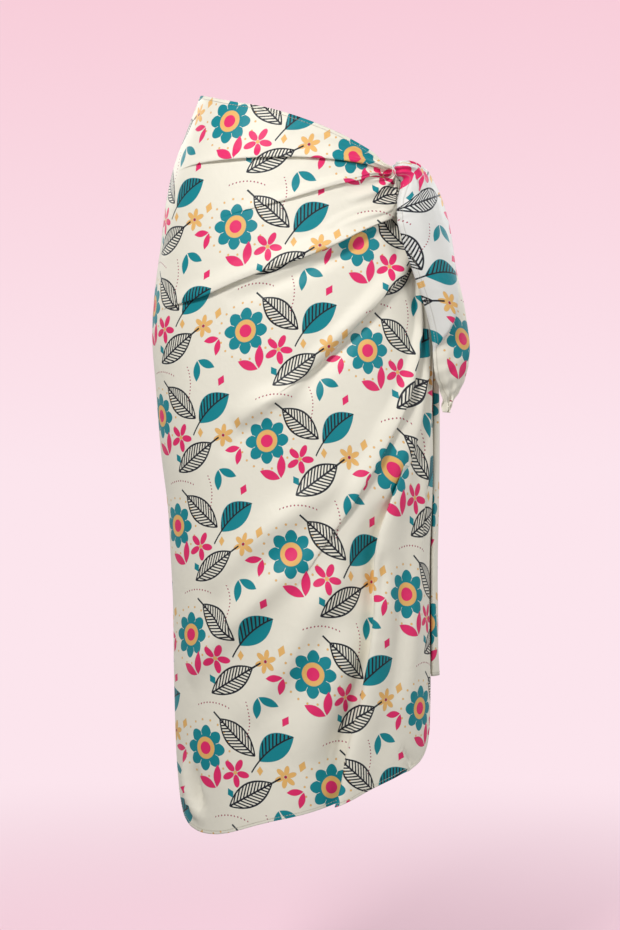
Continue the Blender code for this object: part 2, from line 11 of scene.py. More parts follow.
import bmesh
import bpy
import numpy as np
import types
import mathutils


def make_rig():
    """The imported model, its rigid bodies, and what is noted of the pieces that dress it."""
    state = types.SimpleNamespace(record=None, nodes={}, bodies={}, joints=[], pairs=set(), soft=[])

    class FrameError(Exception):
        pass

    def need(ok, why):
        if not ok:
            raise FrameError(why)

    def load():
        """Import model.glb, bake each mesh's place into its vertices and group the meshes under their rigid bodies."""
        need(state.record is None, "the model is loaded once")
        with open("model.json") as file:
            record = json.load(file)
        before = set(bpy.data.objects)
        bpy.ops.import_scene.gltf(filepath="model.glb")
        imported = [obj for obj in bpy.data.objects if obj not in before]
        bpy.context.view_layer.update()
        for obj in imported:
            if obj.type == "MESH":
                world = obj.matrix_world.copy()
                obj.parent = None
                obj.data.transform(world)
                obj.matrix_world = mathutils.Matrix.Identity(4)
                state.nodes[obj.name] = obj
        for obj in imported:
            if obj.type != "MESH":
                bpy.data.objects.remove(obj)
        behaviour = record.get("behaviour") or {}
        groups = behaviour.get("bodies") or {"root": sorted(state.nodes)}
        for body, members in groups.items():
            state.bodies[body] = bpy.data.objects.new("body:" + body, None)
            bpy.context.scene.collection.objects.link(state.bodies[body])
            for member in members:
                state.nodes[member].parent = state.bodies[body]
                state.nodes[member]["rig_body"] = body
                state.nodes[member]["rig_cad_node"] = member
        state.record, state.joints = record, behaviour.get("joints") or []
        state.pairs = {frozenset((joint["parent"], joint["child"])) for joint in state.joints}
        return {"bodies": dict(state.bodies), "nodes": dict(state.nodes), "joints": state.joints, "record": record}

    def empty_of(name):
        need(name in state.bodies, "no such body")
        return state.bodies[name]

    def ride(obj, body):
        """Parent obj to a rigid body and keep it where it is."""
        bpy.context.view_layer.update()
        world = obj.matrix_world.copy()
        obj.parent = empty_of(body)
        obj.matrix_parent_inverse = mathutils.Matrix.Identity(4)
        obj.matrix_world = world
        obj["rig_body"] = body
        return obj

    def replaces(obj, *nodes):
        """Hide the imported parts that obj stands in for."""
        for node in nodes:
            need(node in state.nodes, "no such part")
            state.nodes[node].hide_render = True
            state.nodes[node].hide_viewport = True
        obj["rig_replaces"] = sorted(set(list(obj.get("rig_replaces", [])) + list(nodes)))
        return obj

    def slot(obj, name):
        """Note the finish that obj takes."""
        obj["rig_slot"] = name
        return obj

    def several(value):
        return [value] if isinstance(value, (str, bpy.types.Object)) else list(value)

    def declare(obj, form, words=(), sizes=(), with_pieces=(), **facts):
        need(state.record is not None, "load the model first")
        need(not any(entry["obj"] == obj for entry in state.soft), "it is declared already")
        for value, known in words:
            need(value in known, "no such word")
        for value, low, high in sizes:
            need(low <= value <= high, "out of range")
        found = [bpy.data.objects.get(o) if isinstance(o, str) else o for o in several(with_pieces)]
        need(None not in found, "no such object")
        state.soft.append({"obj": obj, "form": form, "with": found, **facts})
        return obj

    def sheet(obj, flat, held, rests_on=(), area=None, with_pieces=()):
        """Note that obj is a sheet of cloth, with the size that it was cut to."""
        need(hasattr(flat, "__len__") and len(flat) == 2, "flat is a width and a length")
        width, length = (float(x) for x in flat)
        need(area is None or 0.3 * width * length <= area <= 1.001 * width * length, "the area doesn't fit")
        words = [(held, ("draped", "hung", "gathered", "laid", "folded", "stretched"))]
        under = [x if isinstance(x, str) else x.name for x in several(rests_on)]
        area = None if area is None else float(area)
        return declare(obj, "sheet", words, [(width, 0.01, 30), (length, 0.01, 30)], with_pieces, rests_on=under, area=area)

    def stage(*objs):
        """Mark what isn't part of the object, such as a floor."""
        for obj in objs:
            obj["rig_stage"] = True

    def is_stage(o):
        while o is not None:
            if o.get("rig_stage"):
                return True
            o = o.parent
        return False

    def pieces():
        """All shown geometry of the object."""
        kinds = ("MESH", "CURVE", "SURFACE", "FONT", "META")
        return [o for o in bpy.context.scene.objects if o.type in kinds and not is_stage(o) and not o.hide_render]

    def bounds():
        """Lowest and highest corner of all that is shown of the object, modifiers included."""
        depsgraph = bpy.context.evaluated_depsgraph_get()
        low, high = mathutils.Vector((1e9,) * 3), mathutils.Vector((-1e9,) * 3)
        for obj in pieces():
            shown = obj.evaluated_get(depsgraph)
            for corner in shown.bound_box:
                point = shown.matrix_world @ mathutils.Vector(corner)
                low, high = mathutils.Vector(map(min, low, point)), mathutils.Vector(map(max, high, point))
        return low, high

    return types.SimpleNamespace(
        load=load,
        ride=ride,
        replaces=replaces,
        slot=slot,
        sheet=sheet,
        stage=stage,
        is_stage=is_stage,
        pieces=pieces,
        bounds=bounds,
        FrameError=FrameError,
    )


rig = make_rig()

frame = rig.load()
CAD_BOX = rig.bounds()
SIZE_FILE = "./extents.json"
BODY = "root"
MM = 0.001

# Cloth, seams and knot, as the solids have them
CLOTH_WALL = 2.2
CLOTH_THICKNESS = 0.7
SEAM_ANGLE = -92.0
FULL_TURN = 360.0
UNDER_DROP = 3.2
UNDER_FROM_ANGLE = 84.0
UNDER_TO_ANGLE = 100.0
KNOT_ANGLE = 57.0
KNOT_HEIGHT = -67.0
KNOT_REACH = 9.0
KNOT_HALF_HEIGHT = 9.5
KNOT_DEPTH = 22.0
KNOT_LEAN = -1.5
GATHER_ANGLE_REACH = 1.6
GATHER_HEIGHT_REACH = 5.0
GATHER_RISE = 17.0
GATHER_RISE_SPAN = 13.0
FREE_OF_KNOT = (20.0, 90.0)
# Pleats round the knot: height, count in a turn, degrees turned, where they start, are full, and fade over
GATHER_PLEATS = (
    (1.8, 19, 0, 5, 20, 60),
    (1.08, 33, 80, 5, 20, 60),
    (1.1, 52, 30, 4, 14, 34),
)

# The knot's lump, in shares of its size; its pleats: height, count round it, turn along it, start
KNOT_END = 0.06
KNOT_BLUNTNESS = 3.2
KNOT_PLEATS = ((0.075, 7, 1.6, np.pi / 2), (0.04, 12, -1.1, np.pi / 2 + 0.7))
KNOT_WAIST_DEPTH = 0.10
KNOT_WAIST_AT = 0.15
KNOT_WAIST_REACH = 0.3
KNOT_BACK = 2.4
KNOT_PLACE = (300, 57)

# Form of the worn cloth: height, reach to the left, reach to the right, depth in front, depth behind
FORM = np.array((
    (-1000, 157, 176, 118, 113),
    (-900, 167, 184, 117, 112),
    (-760, 173, 187, 116, 112),
    (-600, 177, 187, 116, 114),
    (-530, 182, 189, 116, 117),
    (-450, 192, 190, 117, 122),
    (-360, 199, 190, 118, 128),
    (-280, 204, 189, 119, 132),
    (-230, 201, 186, 119, 130),
    (-160, 192, 178, 117, 120),
    (-100, 184, 166, 112, 108),
    (-50, 173, 152, 106, 98),
    (0, 155, 136, 98, 92),
    (60, 132, 114, 90, 87),
), float)

# Top edge: angle, height
TOP_EDGE = np.array((
    (-92, 46), (-82, 45), (-34, 26), (-12, 15), (10, -2), (26, -18), (43, -39), (54, -54), (66, -68),
    (75, -74), (90, -76), (105, -74), (119, -66), (137, -41), (154, -20), (170, -3), (192, 13), (214, 26),
    (240, 39), (268, 46),
), float)

# Lower edge of the front stretch, then of the back stretch: angle, height
FRONT_HEM = np.array((
    (-92, -905), (-86, -926), (-81, -946), (-73, -961), (-62, -970), (-47, -972), (-16, -950), (14, -928),
    (30, -909), (48, -892), (65, -878), (74, -864), (79, -852), (82.5, -836),
), float)
BACK_HEM = np.array((
    (50, -760), (62, -775), (80, -806), (90, -824), (100, -840), (120, -865), (150, -893), (180, -912),
    (214, -922), (240, -916), (268, -905),
), float)

# Fold lines of the front stretch, in their order round the knot: name, place round the knot, plain rays after
# it, cloth that its fold swallows across and down, then angles and heights from the knot outwards
FRONT_LINES = (
    ("top_edge", 105, 14, (0, 0), ()),
    ("upper_gather", 150, 18, (0, 8), (
        (47, -64), (34, -58), (14, -53), (-9, -52), (-30, -54), (-48, -57), (-70, -64), (-92, -70)
    )),
    ("middle_gather", 180, 24, (1, 8), (
        (50, -74), (41, -75), (30, -83), (21, -89), (8, -101), (-2, -111), (-13, -120), (-45, -142), (-92, -168)
    )),
    ("cross_fold", 215, 28, (5, 19), (
        (54, -104), (49, -125), (39, -137), (28, -151), (15, -172), (4, -187), (-7, -199), (-21, -216),
        (-38, -237), (-55, -250), (-72, -258), (-92, -262)
    )),
    ("hip_fold", 240, 16, (10, 13), (
        (58, -125), (57, -165), (52, -201), (46, -216), (40, -231), (34, -251), (27, -273), (21, -293),
        (12, -323), (4, -348), (-4, -368), (-30, -430), (-60, -515), (-92, -620)
    )),
    ("corner_line", 255, 20, (0, 0), (
        (60, -125), (60, -180), (58, -240), (54, -285), (48, -322), (41, -352), (33, -385), (22, -420),
        (8, -462), (-10, -522), (-35, -612), (-65, -745), (-92, -905)
    )),
    ("diagonal_fold", 270, 13, (8, 5), (
        (62, -130), (63, -190), (63, -242), (62, -281), (60, -304), (57, -333), (52, -367), (47, -397),
        (40, -432), (34, -464), (27, -496), (21, -526), (13, -562), (5, -600), (-15, -690), (-38, -810),
        (-60, -969)
    )),
    ("long_fold", 290, 14, (16, 3), (
        (64.5, -130), (66.5, -190), (68, -241), (68.5, -290), (67, -342), (62.5, -380), (58, -421), (52, -458),
        (47, -489), (41, -530), (36.5, -562), (34.5, -590), (34, -626), (33.5, -665), (31, -715), (28.5, -760),
        (25, -807), (20.5, -853), (17, -907), (15, -928)
    )),
    ("side_pleat", 310, 11, (6, 1), (
        (68, -130), (71.5, -190), (73.5, -241), (74.5, -296), (74, -370), (71, -434), (69, -484), (67.5, -531),
        (66, -610), (63, -700), (58, -800), (54, -886)
    )),
    ("free_edge", 330, 0, (0, 0), (
        (72, -130), (76.5, -190), (79, -241), (81, -296), (82, -379), (82.5, -476), (80.5, -560), (81, -640),
        (80, -712), (81, -780), (82.5, -836)
    )),
)

# Folds on those lines: line, height and width of a crest on its near side, then of one on its far side, the
# distances from the knot where the fold starts, is full, starts to fade and has gone, and how far it hangs over
FRONT_FOLDS = (
    ("upper_gather", 6.0, 14, 0, 1, 8, 40, 230, 330, 2.5),
    ("middle_gather", 6.0, 14, 0, 1, 8, 40, 100, 270, 2.5),
    ("cross_fold", 7.5, 24, 0, 1, 12, 50, 330, 440, 5.5),
    ("hip_fold", 9.0, 26, 0, 1, 50, 120, 270, 400, 5.5),
    ("diagonal_fold", 9.0, 28, 0, 1, 110, 210, 430, 640, 2.5),
    ("long_fold", 10.0, 28, 0, 1, 110, 230, 420, 560, 4.0),
    ("long_fold", -15.0, 58, 9.0, 46, 340, 500, 2000, 2001, 5.0),
    ("side_pleat", 5.0, 16, 0, 1, 110, 200, 380, 560, 2.0),
)

# Fold lines of the back stretch and its folds, with the same columns
BACK_LINES = (
    ("top_edge", 60, 7, (0, 0), ()),
    ("high_gather", 20, 7, (0, 9), (
        (74, -86), (90, -101), (112, -104), (140, -94), (170, -80), (210, -70), (268, -70)
    )),
    ("waist_gather", -5, 9, (-2, 11), (
        (74, -102), (88, -128), (106, -146), (130, -158), (165, -164), (210, -164), (268, -168)
    )),
    ("seat_fold", -25, 14, (-5, 20), (
        (72, -118), (82, -158), (96, -200), (118, -238), (150, -260), (190, -266), (232, -264), (268, -262)
    )),
    ("low_fold", -40, 13, (-10, 13), (
        (70, -135), (77, -200), (87, -280), (102, -370), (126, -450), (162, -522), (210, -580), (268, -620)
    )),
    ("corner_line", -52, 14, (0, 0), (
        (68, -150), (73, -240), (81, -345), (95, -470), (120, -600), (160, -730), (215, -835), (268, -905)
    )),
    ("fall_fold", -62, 9, (0, 0), (
        (66, -160), (70, -260), (76, -380), (85, -520), (99, -660), (122, -790), (150, -893)
    )),
    ("side_fall", -75, 6, (0, 0), ((64, -160), (67, -260), (71, -380), (76, -530), (83, -690), (92, -827))),
    ("free_edge", -90, 0, (0, 0), ((61, -160), (59, -260), (57, -380), (55, -530), (53, -690), (52, -763))),
)
BACK_FOLDS = (
    ("high_gather", 5.0, 22, 0, 1, 60, 110, 170, 330, 1.4),
    ("waist_gather", 5.0, 26, 0, 1, 60, 120, 190, 360, 1.6),
    ("seat_fold", 5.5, 36, 0, 1, 150, 230, 270, 460, 2.0),
    ("low_fold", 7.0, 34, 0, 1, 350, 430, 530, 680, 2.0),
)

# Smaller creases of the front, seen from the front: width, height (a trough where negative), then places
CREASE_DEPTH = 1.7
CREASE_STEPS = 24
CREASE_TAPER = 0.7
FRONT_CREASES = (
    (4, 2.0, ((122, -66), (104, -60), (84, -56), (62, -54))),
    (4, 1.8, ((122, -78), (104, -79), (84, -84), (58, -92))),
    (4, 1.8, ((122, -88), (106, -96), (88, -104), (66, -112))),
    (4, 3.0, ((130, -120), (98, -129), (77, -137), (45, -151))),
    (4, 3.0, ((131, -110), (83, -124), (52, -139), (30, -156))),
    (7, 3.5, ((130, -132), (120, -138), (102, -150), (82, -160), (50, -171), (14, -186))),
    (9, -3.5, ((112, -146), (80, -172), (35, -197), (0, -213), (-44, -230), (-96, -250))),
    (12, -6.0, ((122, -250), (84, -288), (44, -325), (8, -368), (-20, -392))),
    (15, 7.5, ((8, -357), (-17, -376), (-48, -388), (-84, -414))),
    (6, -3.0, ((-18, -384), (-27, -391), (-40, -396))),
    (10, -2.5, ((-44, -408), (-70, -424), (-104, -455))),
    (20, 7.5, ((70, -480), (20, -515), (-44, -560), (-120, -640))),
    (18, 8.0, ((20, -583), (-37, -635), (-96, -695), (-148, -767))),
    (20, 8.5, ((72, -612), (30, -651), (3, -705), (-30, -759), (-72, -822))),
    (16, -6.0, ((52, -660), (26, -705), (-2, -765), (-36, -820))),
    (20, 6.5, ((84, -690), (60, -745), (34, -805), (6, -870))),
    (12, -5.0, ((88, -735), (74, -790), (56, -850), (44, -905))),
    (7, 7.5, ((-152, -872), (-151, -905), (-144, -935), (-128, -958))),
    (5, -6.0, ((-140, -880), (-137, -915), (-128, -942))),
    (5, 2.0, ((132, -846), (146, -872), (154, -892))),
    (4, -2.0, ((140, -846), (154, -872), (164, -884))),
    (3, -1.6, ((174, -470), (176, -520), (174, -580))),
    (12, 3.0, ((150, -330), (146, -390), (134, -460), (120, -530))),
    (8, -3.0, ((112, -586), (112, -620), (108, -655))),
    (16, 3.0, ((168, -560), (162, -650), (156, -740), (150, -820))),
    (14, -2.5, ((146, -600), (140, -700), (132, -790))),
)
# Smaller creases of the back, by angle and height
BACK_CREASES = (
    (6, 2.5, ((96, -120), (120, -126), (146, -124), (172, -116))),
    (7, 2.5, ((98, -150), (122, -176), (150, -190), (180, -196))),
    (12, -3.0, ((112, -252), (140, -280), (172, -292), (206, -296))),
    (20, 4.0, ((100, -330), (122, -392), (150, -440), (184, -476), (216, -500))),
    (14, -3.0, ((96, -360), (114, -430), (140, -486), (172, -530))),
    (22, 4.5, ((196, -330), (212, -420), (226, -520), (236, -640))),
    (24, 5.0, ((178, -560), (186, -660), (196, -770), (204, -880))),
    (20, -4.0, ((158, -600), (162, -700), (170, -800), (176, -900))),
    (22, 4.5, ((136, -620), (142, -720), (150, -810), (156, -880))),
    (18, -3.0, ((214, -640), (222, -740), (230, -840), (234, -915))),
    (20, 4.0, ((240, -560), (246, -680), (250, -800), (252, -905))),
    (14, 2.5, ((256, -300), (250, -380), (240, -450), (226, -500))),
    (12, 3.0, ((110, -560), (112, -650), (116, -760), (118, -850))),
)

# Rows of the hanging corner: inner edge x, y, z, outer edge x, y, z, half depth, crown, front lobe's end
EAR_ROWS = np.array((
    (137.5, -74, -76, 136.5, -72, -65, 2.6, 1.0, 3.0),
    (140.6, -84, -82, 139.6, -80, -56, 3.0, 2.5, 3.0),
    (141.5, -91, -89, 154.3, -63.3, -57, 3.2, 4.5, 3.0),
    (138, -96, -101, 170, -47, -63, 3.6, 6.0, 2.6),
    (135, -99, -115, 182, -36, -79, 4.0, 7.0, 2.2),
    (134, -101, -130, 192, -30, -97, 4.4, 7.5, 1.8),
    (135, -102, -145, 200, -27, -119, 4.6, 8.0, 1.4),
    (140, -101, -163, 207, -25, -148, 4.8, 8.0, 1.0),
    (148, -97, -187, 214, -25, -182, 5.0, 8.0, 0.8),
    (157, -91, -214, 221, -25, -214, 5.0, 8.0, 0.6),
    (168, -82, -243, 228, -25, -243, 5.0, 7.5, 0.4),
    (177, -73, -273, 233, -25, -272, 5.0, 7.0, 0.0),
    (183, -66, -303, 237, -25, -301, 4.8, 6.5, -0.7),
    (185, -64, -326, 236, -25, -324, 4.6, 6.0, -1.4),
    (188, -59, -346, 231, -25, -347, 4.2, 5.5, -2.0),
    (195, -46, -363, 224, -26, -364, 3.8, 3.5, -2.6),
    (200, -38, -377, 216, -27, -377, 3.2, 2.0, -3.0),
    (201, -35, -387, 212, -28, -387, 2.9, 1.2, -3.0),
    (201, -34, -396, 209, -29, -396, 2.7, 0.8, -3.0),
), float)
EAR_LOBE_STEP = 12.0
EAR_SWALLOWED = 24.0
EAR_EDGE_DROP = 3.0
EAR_EDGE_SPAN = (-1.0, -0.4)
LOBE_SOFTNESS = 0.035
LOBE_ROUND = 0.24
# The rear lobe takes this material, the wrap's creamier ground: a tone change that paints the shade of the fold
# between the lobes
REAR_MATERIAL = 2
EAR_TURN = 24.0
EAR_PLACE = (31, 64)
# Its pleats at the knot and at the tip: height, rates across and down, start; how far they fade; its waist
EAR_TOP_PLEATS = ((3.6, 7.5, 0.0, 0.6), (2.0, 16.0, 0.0, 2.1))
EAR_TIP_PLEATS = ((3.4, 8.5, 0.0, -0.4), (2.4, 5.0, 1 / 3, 0.0))
EAR_TOP_FADE = 44.0
EAR_TIP_FADE = 34.0
EAR_WAIST_AT = 128.0
EAR_WAIST_REACH = 16.0
EAR_WAIST_DEPTH = 1.4
PUCKER_HEIGHT = 0.5
PUCKER_REACH = 0.35

# Rows of the long fall at the side: height, angles of its front and rear edges, half depth, crown
FALL_ROWS = np.array((
    (-88, 67.5, 73, 2.2, 1.0),
    (-112, 73, 83, 2.3, 1.2),
    (-145, 77, 91, 2.4, 1.4),
    (-190, 80, 99, 2.5, 1.6),
    (-250, 83, 105, 2.5, 1.8),
    (-310, 83.6, 108, 2.5, 1.8),
    (-380, 83.7, 110, 2.5, 2.0),
    (-450, 83.7, 112, 2.5, 2.0),
    (-530, 82.6, 113, 2.5, 2.2),
    (-610, 82.0, 115, 2.6, 2.8),
    (-690, 82.2, 117, 2.8, 4.0),
    (-763, 82.8, 120, 3.0, 6.0),
), float)
FALL_CLEARANCE = 0.5
FALL_TUCK = 2.4
FALL_TUCK_SPAN = (-1.0, -0.2)
FALL_RIPPLES = ((1.5, 1 / 5.2, 1 / 60, 0.0), (1.05, 1 / 9, -1 / 110, 1.0))
FALL_RIPPLES_FROM = (-120.0, -300.0)
FALL_PLACE = 120.0
UNDER_LAYER_SHARE = 0.65

# Narrow hem and its stitches
EDGE_NAME = "from_edge"
FAR_FROM_EDGE = 100.0
HEM_DEPTH = 4.6
SEAM_SETTLES = 8.0
SEAM_CLEAR_COLUMNS = 12
EAR_SEAM_ROWS = (16, 138)
FALL_SEAM_ROW = 6
FALL_UPPER_SHARE = 0.55
STITCH_PITCH = 4.0
STITCH_LENGTH = 2.8
STITCH_SIDES = 5
STITCH_STEPS = np.array((0, 0.2, 0.8, 1))
STITCH_HEIGHTS = np.array((-0.15, 0.2, 0.2, -0.15))
STITCH_RADII = (0.12, 0.25, 0.25, 0.12)

# Fineness of the cloth's grids
FRONT_STEPS = 146
BACK_STEPS = 100
RAY_CROWDING = 1.2
HEM_SHARES = (0.9925, 0.994, 0.9985)
ROLL_RAYS = 9
END_CROWDING = 0.55
EDGE_SAMPLES = 160
EAR_GRID = (150, 64)
FALL_GRID = (160, 44)
KNOT_GRID = (44, 72)

# Room for the folds beside their lines
EDGE_SETTLES = 12.0
HEM_POWER = 4
STEP_SPAN = 3.0
STEP_SPAN_SHARE = 0.25
STEEPEST_STEP = 3.4
SLOPE_ROOM = 0.62
CREST_ROOM = 0.4
LIP_ROOM = 0.12
ROOM_FOR_FOLDS = (4.0, 9.0)
LEAST_GAP = 0.5
TUCK = (0.25, 0.85)
SWALLOW_FADE = 0.45

# Slow unevenness of the cloth, as products of two waves: height, rates round the body and down it, start
SLOW_WAVES = (
    (((1.3, 1 / 61, 1 / 93, 0.4),), ((1.0, -1 / 140, 1 / 71, 0.0),)),
    (((0.5, 1 / 27, -1 / 58, 1.3),), ((1.0, 1 / 90, 1 / 44, 2.1),)),
)

# Flat cloth: how its grain leans round the body, and the marks of the table of distances round the body
GIRTH_ANGLES = (SEAM_ANGLE - 225, 100, 326)
GIRTH_HEIGHTS = (-1000, 60, 54)
GRAIN_ORIGIN_ANGLE = -20.0
GRAIN_LEAN = 0.15
LEAN_ANGLES = (-150.0, -60.0)
GRAIN_PIVOT = -430.0
GRAIN_TOP = 40.0


def smooth_curve(at, xs, ys):
    """A cubic curve through the points (xs, ys), read at the places in at."""
    slopes = np.gradient(ys, xs)
    first = np.clip(np.searchsorted(xs, at) - 1, 0, len(xs) - 2)
    width = xs[first + 1] - xs[first]
    share = np.clip((at - xs[first]) / width, 0, 1)
    start_pull = share * (1 - share) ** 2 * width * slopes[first]
    end_pull = share ** 2 * (share - 1) * width * slopes[first + 1]
    blend = share ** 2 * (3 - 2 * share)
    return ys[first] * (1 - blend) + ys[first + 1] * blend + start_pull + end_pull


def smooth_columns(at, xs, table):
    """Each column of a table as a smooth curve over xs, read at the places in at."""
    return [smooth_curve(at, xs, column) for column in table.T]


def read_table(table, at):
    """The other columns of a table, read at the places in at by its first column."""
    return smooth_columns(at, table[:, 0], table[:, 1:])


def refine(rows, count):
    """The columns of a table with its rows spread smoothly over count rows."""
    return np.array(smooth_columns(np.linspace(0, len(rows) - 1, count), np.arange(len(rows)), rows))


def ease(low, high, value):
    """Rises smoothly from 0 at low to 1 at high."""
    share = np.clip((value - low) / (high - low), 0, 1)
    return share ** 2 * (3 - 2 * share)


def waves(rows, across, down):
    """A sum of waves: each row's height, rates across and down in radians, and start."""
    return sum(height * np.sin(across * a + down * b + start) for height, a, b, start in rows)


def unit(vectors):
    """The same directions with a length of 1."""
    return vectors / np.maximum(np.linalg.norm(vectors, axis=-1, keepdims=True), 1e-9)


def outward(normals, points):
    """Unit normals, turned away from the body's upright axis."""
    normals = unit(normals)
    return normals * np.sign(np.sum(normals * points * (1, 1, 0), axis=-1, keepdims=True))


def distance_in(points):
    """How far each point lies from the first one, along the first axis."""
    legs = np.linalg.norm(np.diff(points, axis=0), axis=-1)
    return np.concatenate((0 * legs[:1], np.cumsum(legs, axis=0)))


def form_point(angle, height, lift=0.0):
    """Points on the worn form, moved out from it by lift."""
    angle, height = np.broadcast_arrays(angle, height)
    left, right, front, behind = read_table(FORM, height)
    turn = np.radians(angle)
    half_width = (left + right) / 2
    depth = np.where(np.cos(turn) > 0, front, behind)
    place = ((right - left) / 2 + half_width * np.sin(turn), -depth * np.cos(turn), height)
    out = unit(np.stack((np.sin(turn) / half_width, -np.cos(turn) / depth, 0 * turn), axis=-1))
    return np.stack(place, axis=-1) + out * np.asarray(lift)[..., None]


def front_angle(across, height):
    """The angle of a place on the front that is seen at a distance to the right."""
    left, right = read_table(FORM, height)[:2]
    return np.degrees(np.arcsin(np.clip((across - (right - left) / 2) / ((left + right) / 2), -1, 1)))


def under_drop(angle):
    """How far the back stretch sinks where the front stretch lies over it."""
    return -UNDER_DROP * (1 - ease(UNDER_FROM_ANGLE, UNDER_TO_ANGLE, angle))


class Girth:
    """Distances round the body from one angle, kept as a table and read between its entries."""

    def __init__(self):
        self.marks = np.linspace(*GIRTH_ANGLES), np.linspace(*GIRTH_HEIGHTS)
        along = distance_in(form_point(self.marks[0][:, None], self.marks[1][None, :]))
        self.table = along - along[np.argmin(abs(self.marks[0] - GRAIN_ORIGIN_ANGLE))]

    def __call__(self, angle, height):
        spots = []
        for values, marks in zip(np.broadcast_arrays(angle, height), self.marks):
            spot = np.clip((values - marks[0]) / (marks[1] - marks[0]), 0, len(marks) - 1.001)
            spots += [spot.astype(int), spot % 1]
        i, a, j, b = spots
        low = self.table[i, j] * (1 - a) + self.table[i + 1, j] * a
        high = self.table[i, j + 1] * (1 - a) + self.table[i + 1, j + 1] * a
        return low * (1 - b) + high * b


GIRTH = Girth()


def crease_lift(angle, height, creases):
    """How far the smaller creases move the cloth out."""
    flat = np.stack((GIRTH(angle, height), height), axis=-1)
    total = np.zeros_like(height)
    for width, rise, places in creases:
        angles, heights = np.array(places, float).T
        path = np.stack((GIRTH(angles, heights), heights), axis=-1)
        along = distance_in(path)
        path = np.stack(smooth_columns(np.linspace(0, along[-1], CREASE_STEPS), along, path), axis=-1)
        low = path.min(axis=0) - 3 * width
        high = path.max(axis=0) + 3 * width
        near = np.all((flat > low) & (flat < high), axis=-1)
        spots = flat[near]
        nearest = np.full(len(spots), np.inf)
        share = np.zeros(len(spots))
        for k, (start, end) in enumerate(zip(path[:-1], path[1:])):
            leg = end - start
            t = np.clip((spots - start) @ leg / (leg @ leg), 0, 1)
            distance = np.linalg.norm(spots - start - t[:, None] * leg, axis=-1)
            closer = distance < nearest
            nearest = np.where(closer, distance, nearest)
            share = np.where(closer, (k + t) / (len(path) - 1), share)
        taper = np.sin(np.pi * np.clip(share, 0, 1)) ** CREASE_TAPER
        total[near] += rise * taper * np.exp(-(nearest / width) ** 2)
    return CREASE_DEPTH * total


def broad_lift(angle, height):
    """Slow unevenness of cloth that hangs free."""
    across = GIRTH(angle, height)
    return sum(waves(first, across, height) * waves(second, across, height) for first, second in SLOW_WAVES)


def line_curve(line, shares, end_angle):
    """Angles and heights along one fold line, and the distance from the knot, at the given shares."""
    name, place, _, _, rows = line
    start_angle = KNOT_ANGLE + GATHER_ANGLE_REACH * np.cos(np.radians(place))
    start_height = KNOT_HEIGHT + GATHER_HEIGHT_REACH * np.sin(np.radians(place))
    if name == "top_edge":
        angles = np.linspace(start_angle, end_angle, EDGE_SAMPLES)
        settled = ease(0, EDGE_SETTLES, np.abs(angles - start_angle))
        edge, = read_table(TOP_EDGE, angles)
        rows = np.stack((angles, start_height * (1 - settled) + edge * settled), axis=-1)
    else:
        rows = np.array(((start_angle, start_height),) + rows)
    along = distance_in(form_point(*rows.T))
    reach = shares * along[-1]
    return *smooth_columns(reach, along, rows), reach


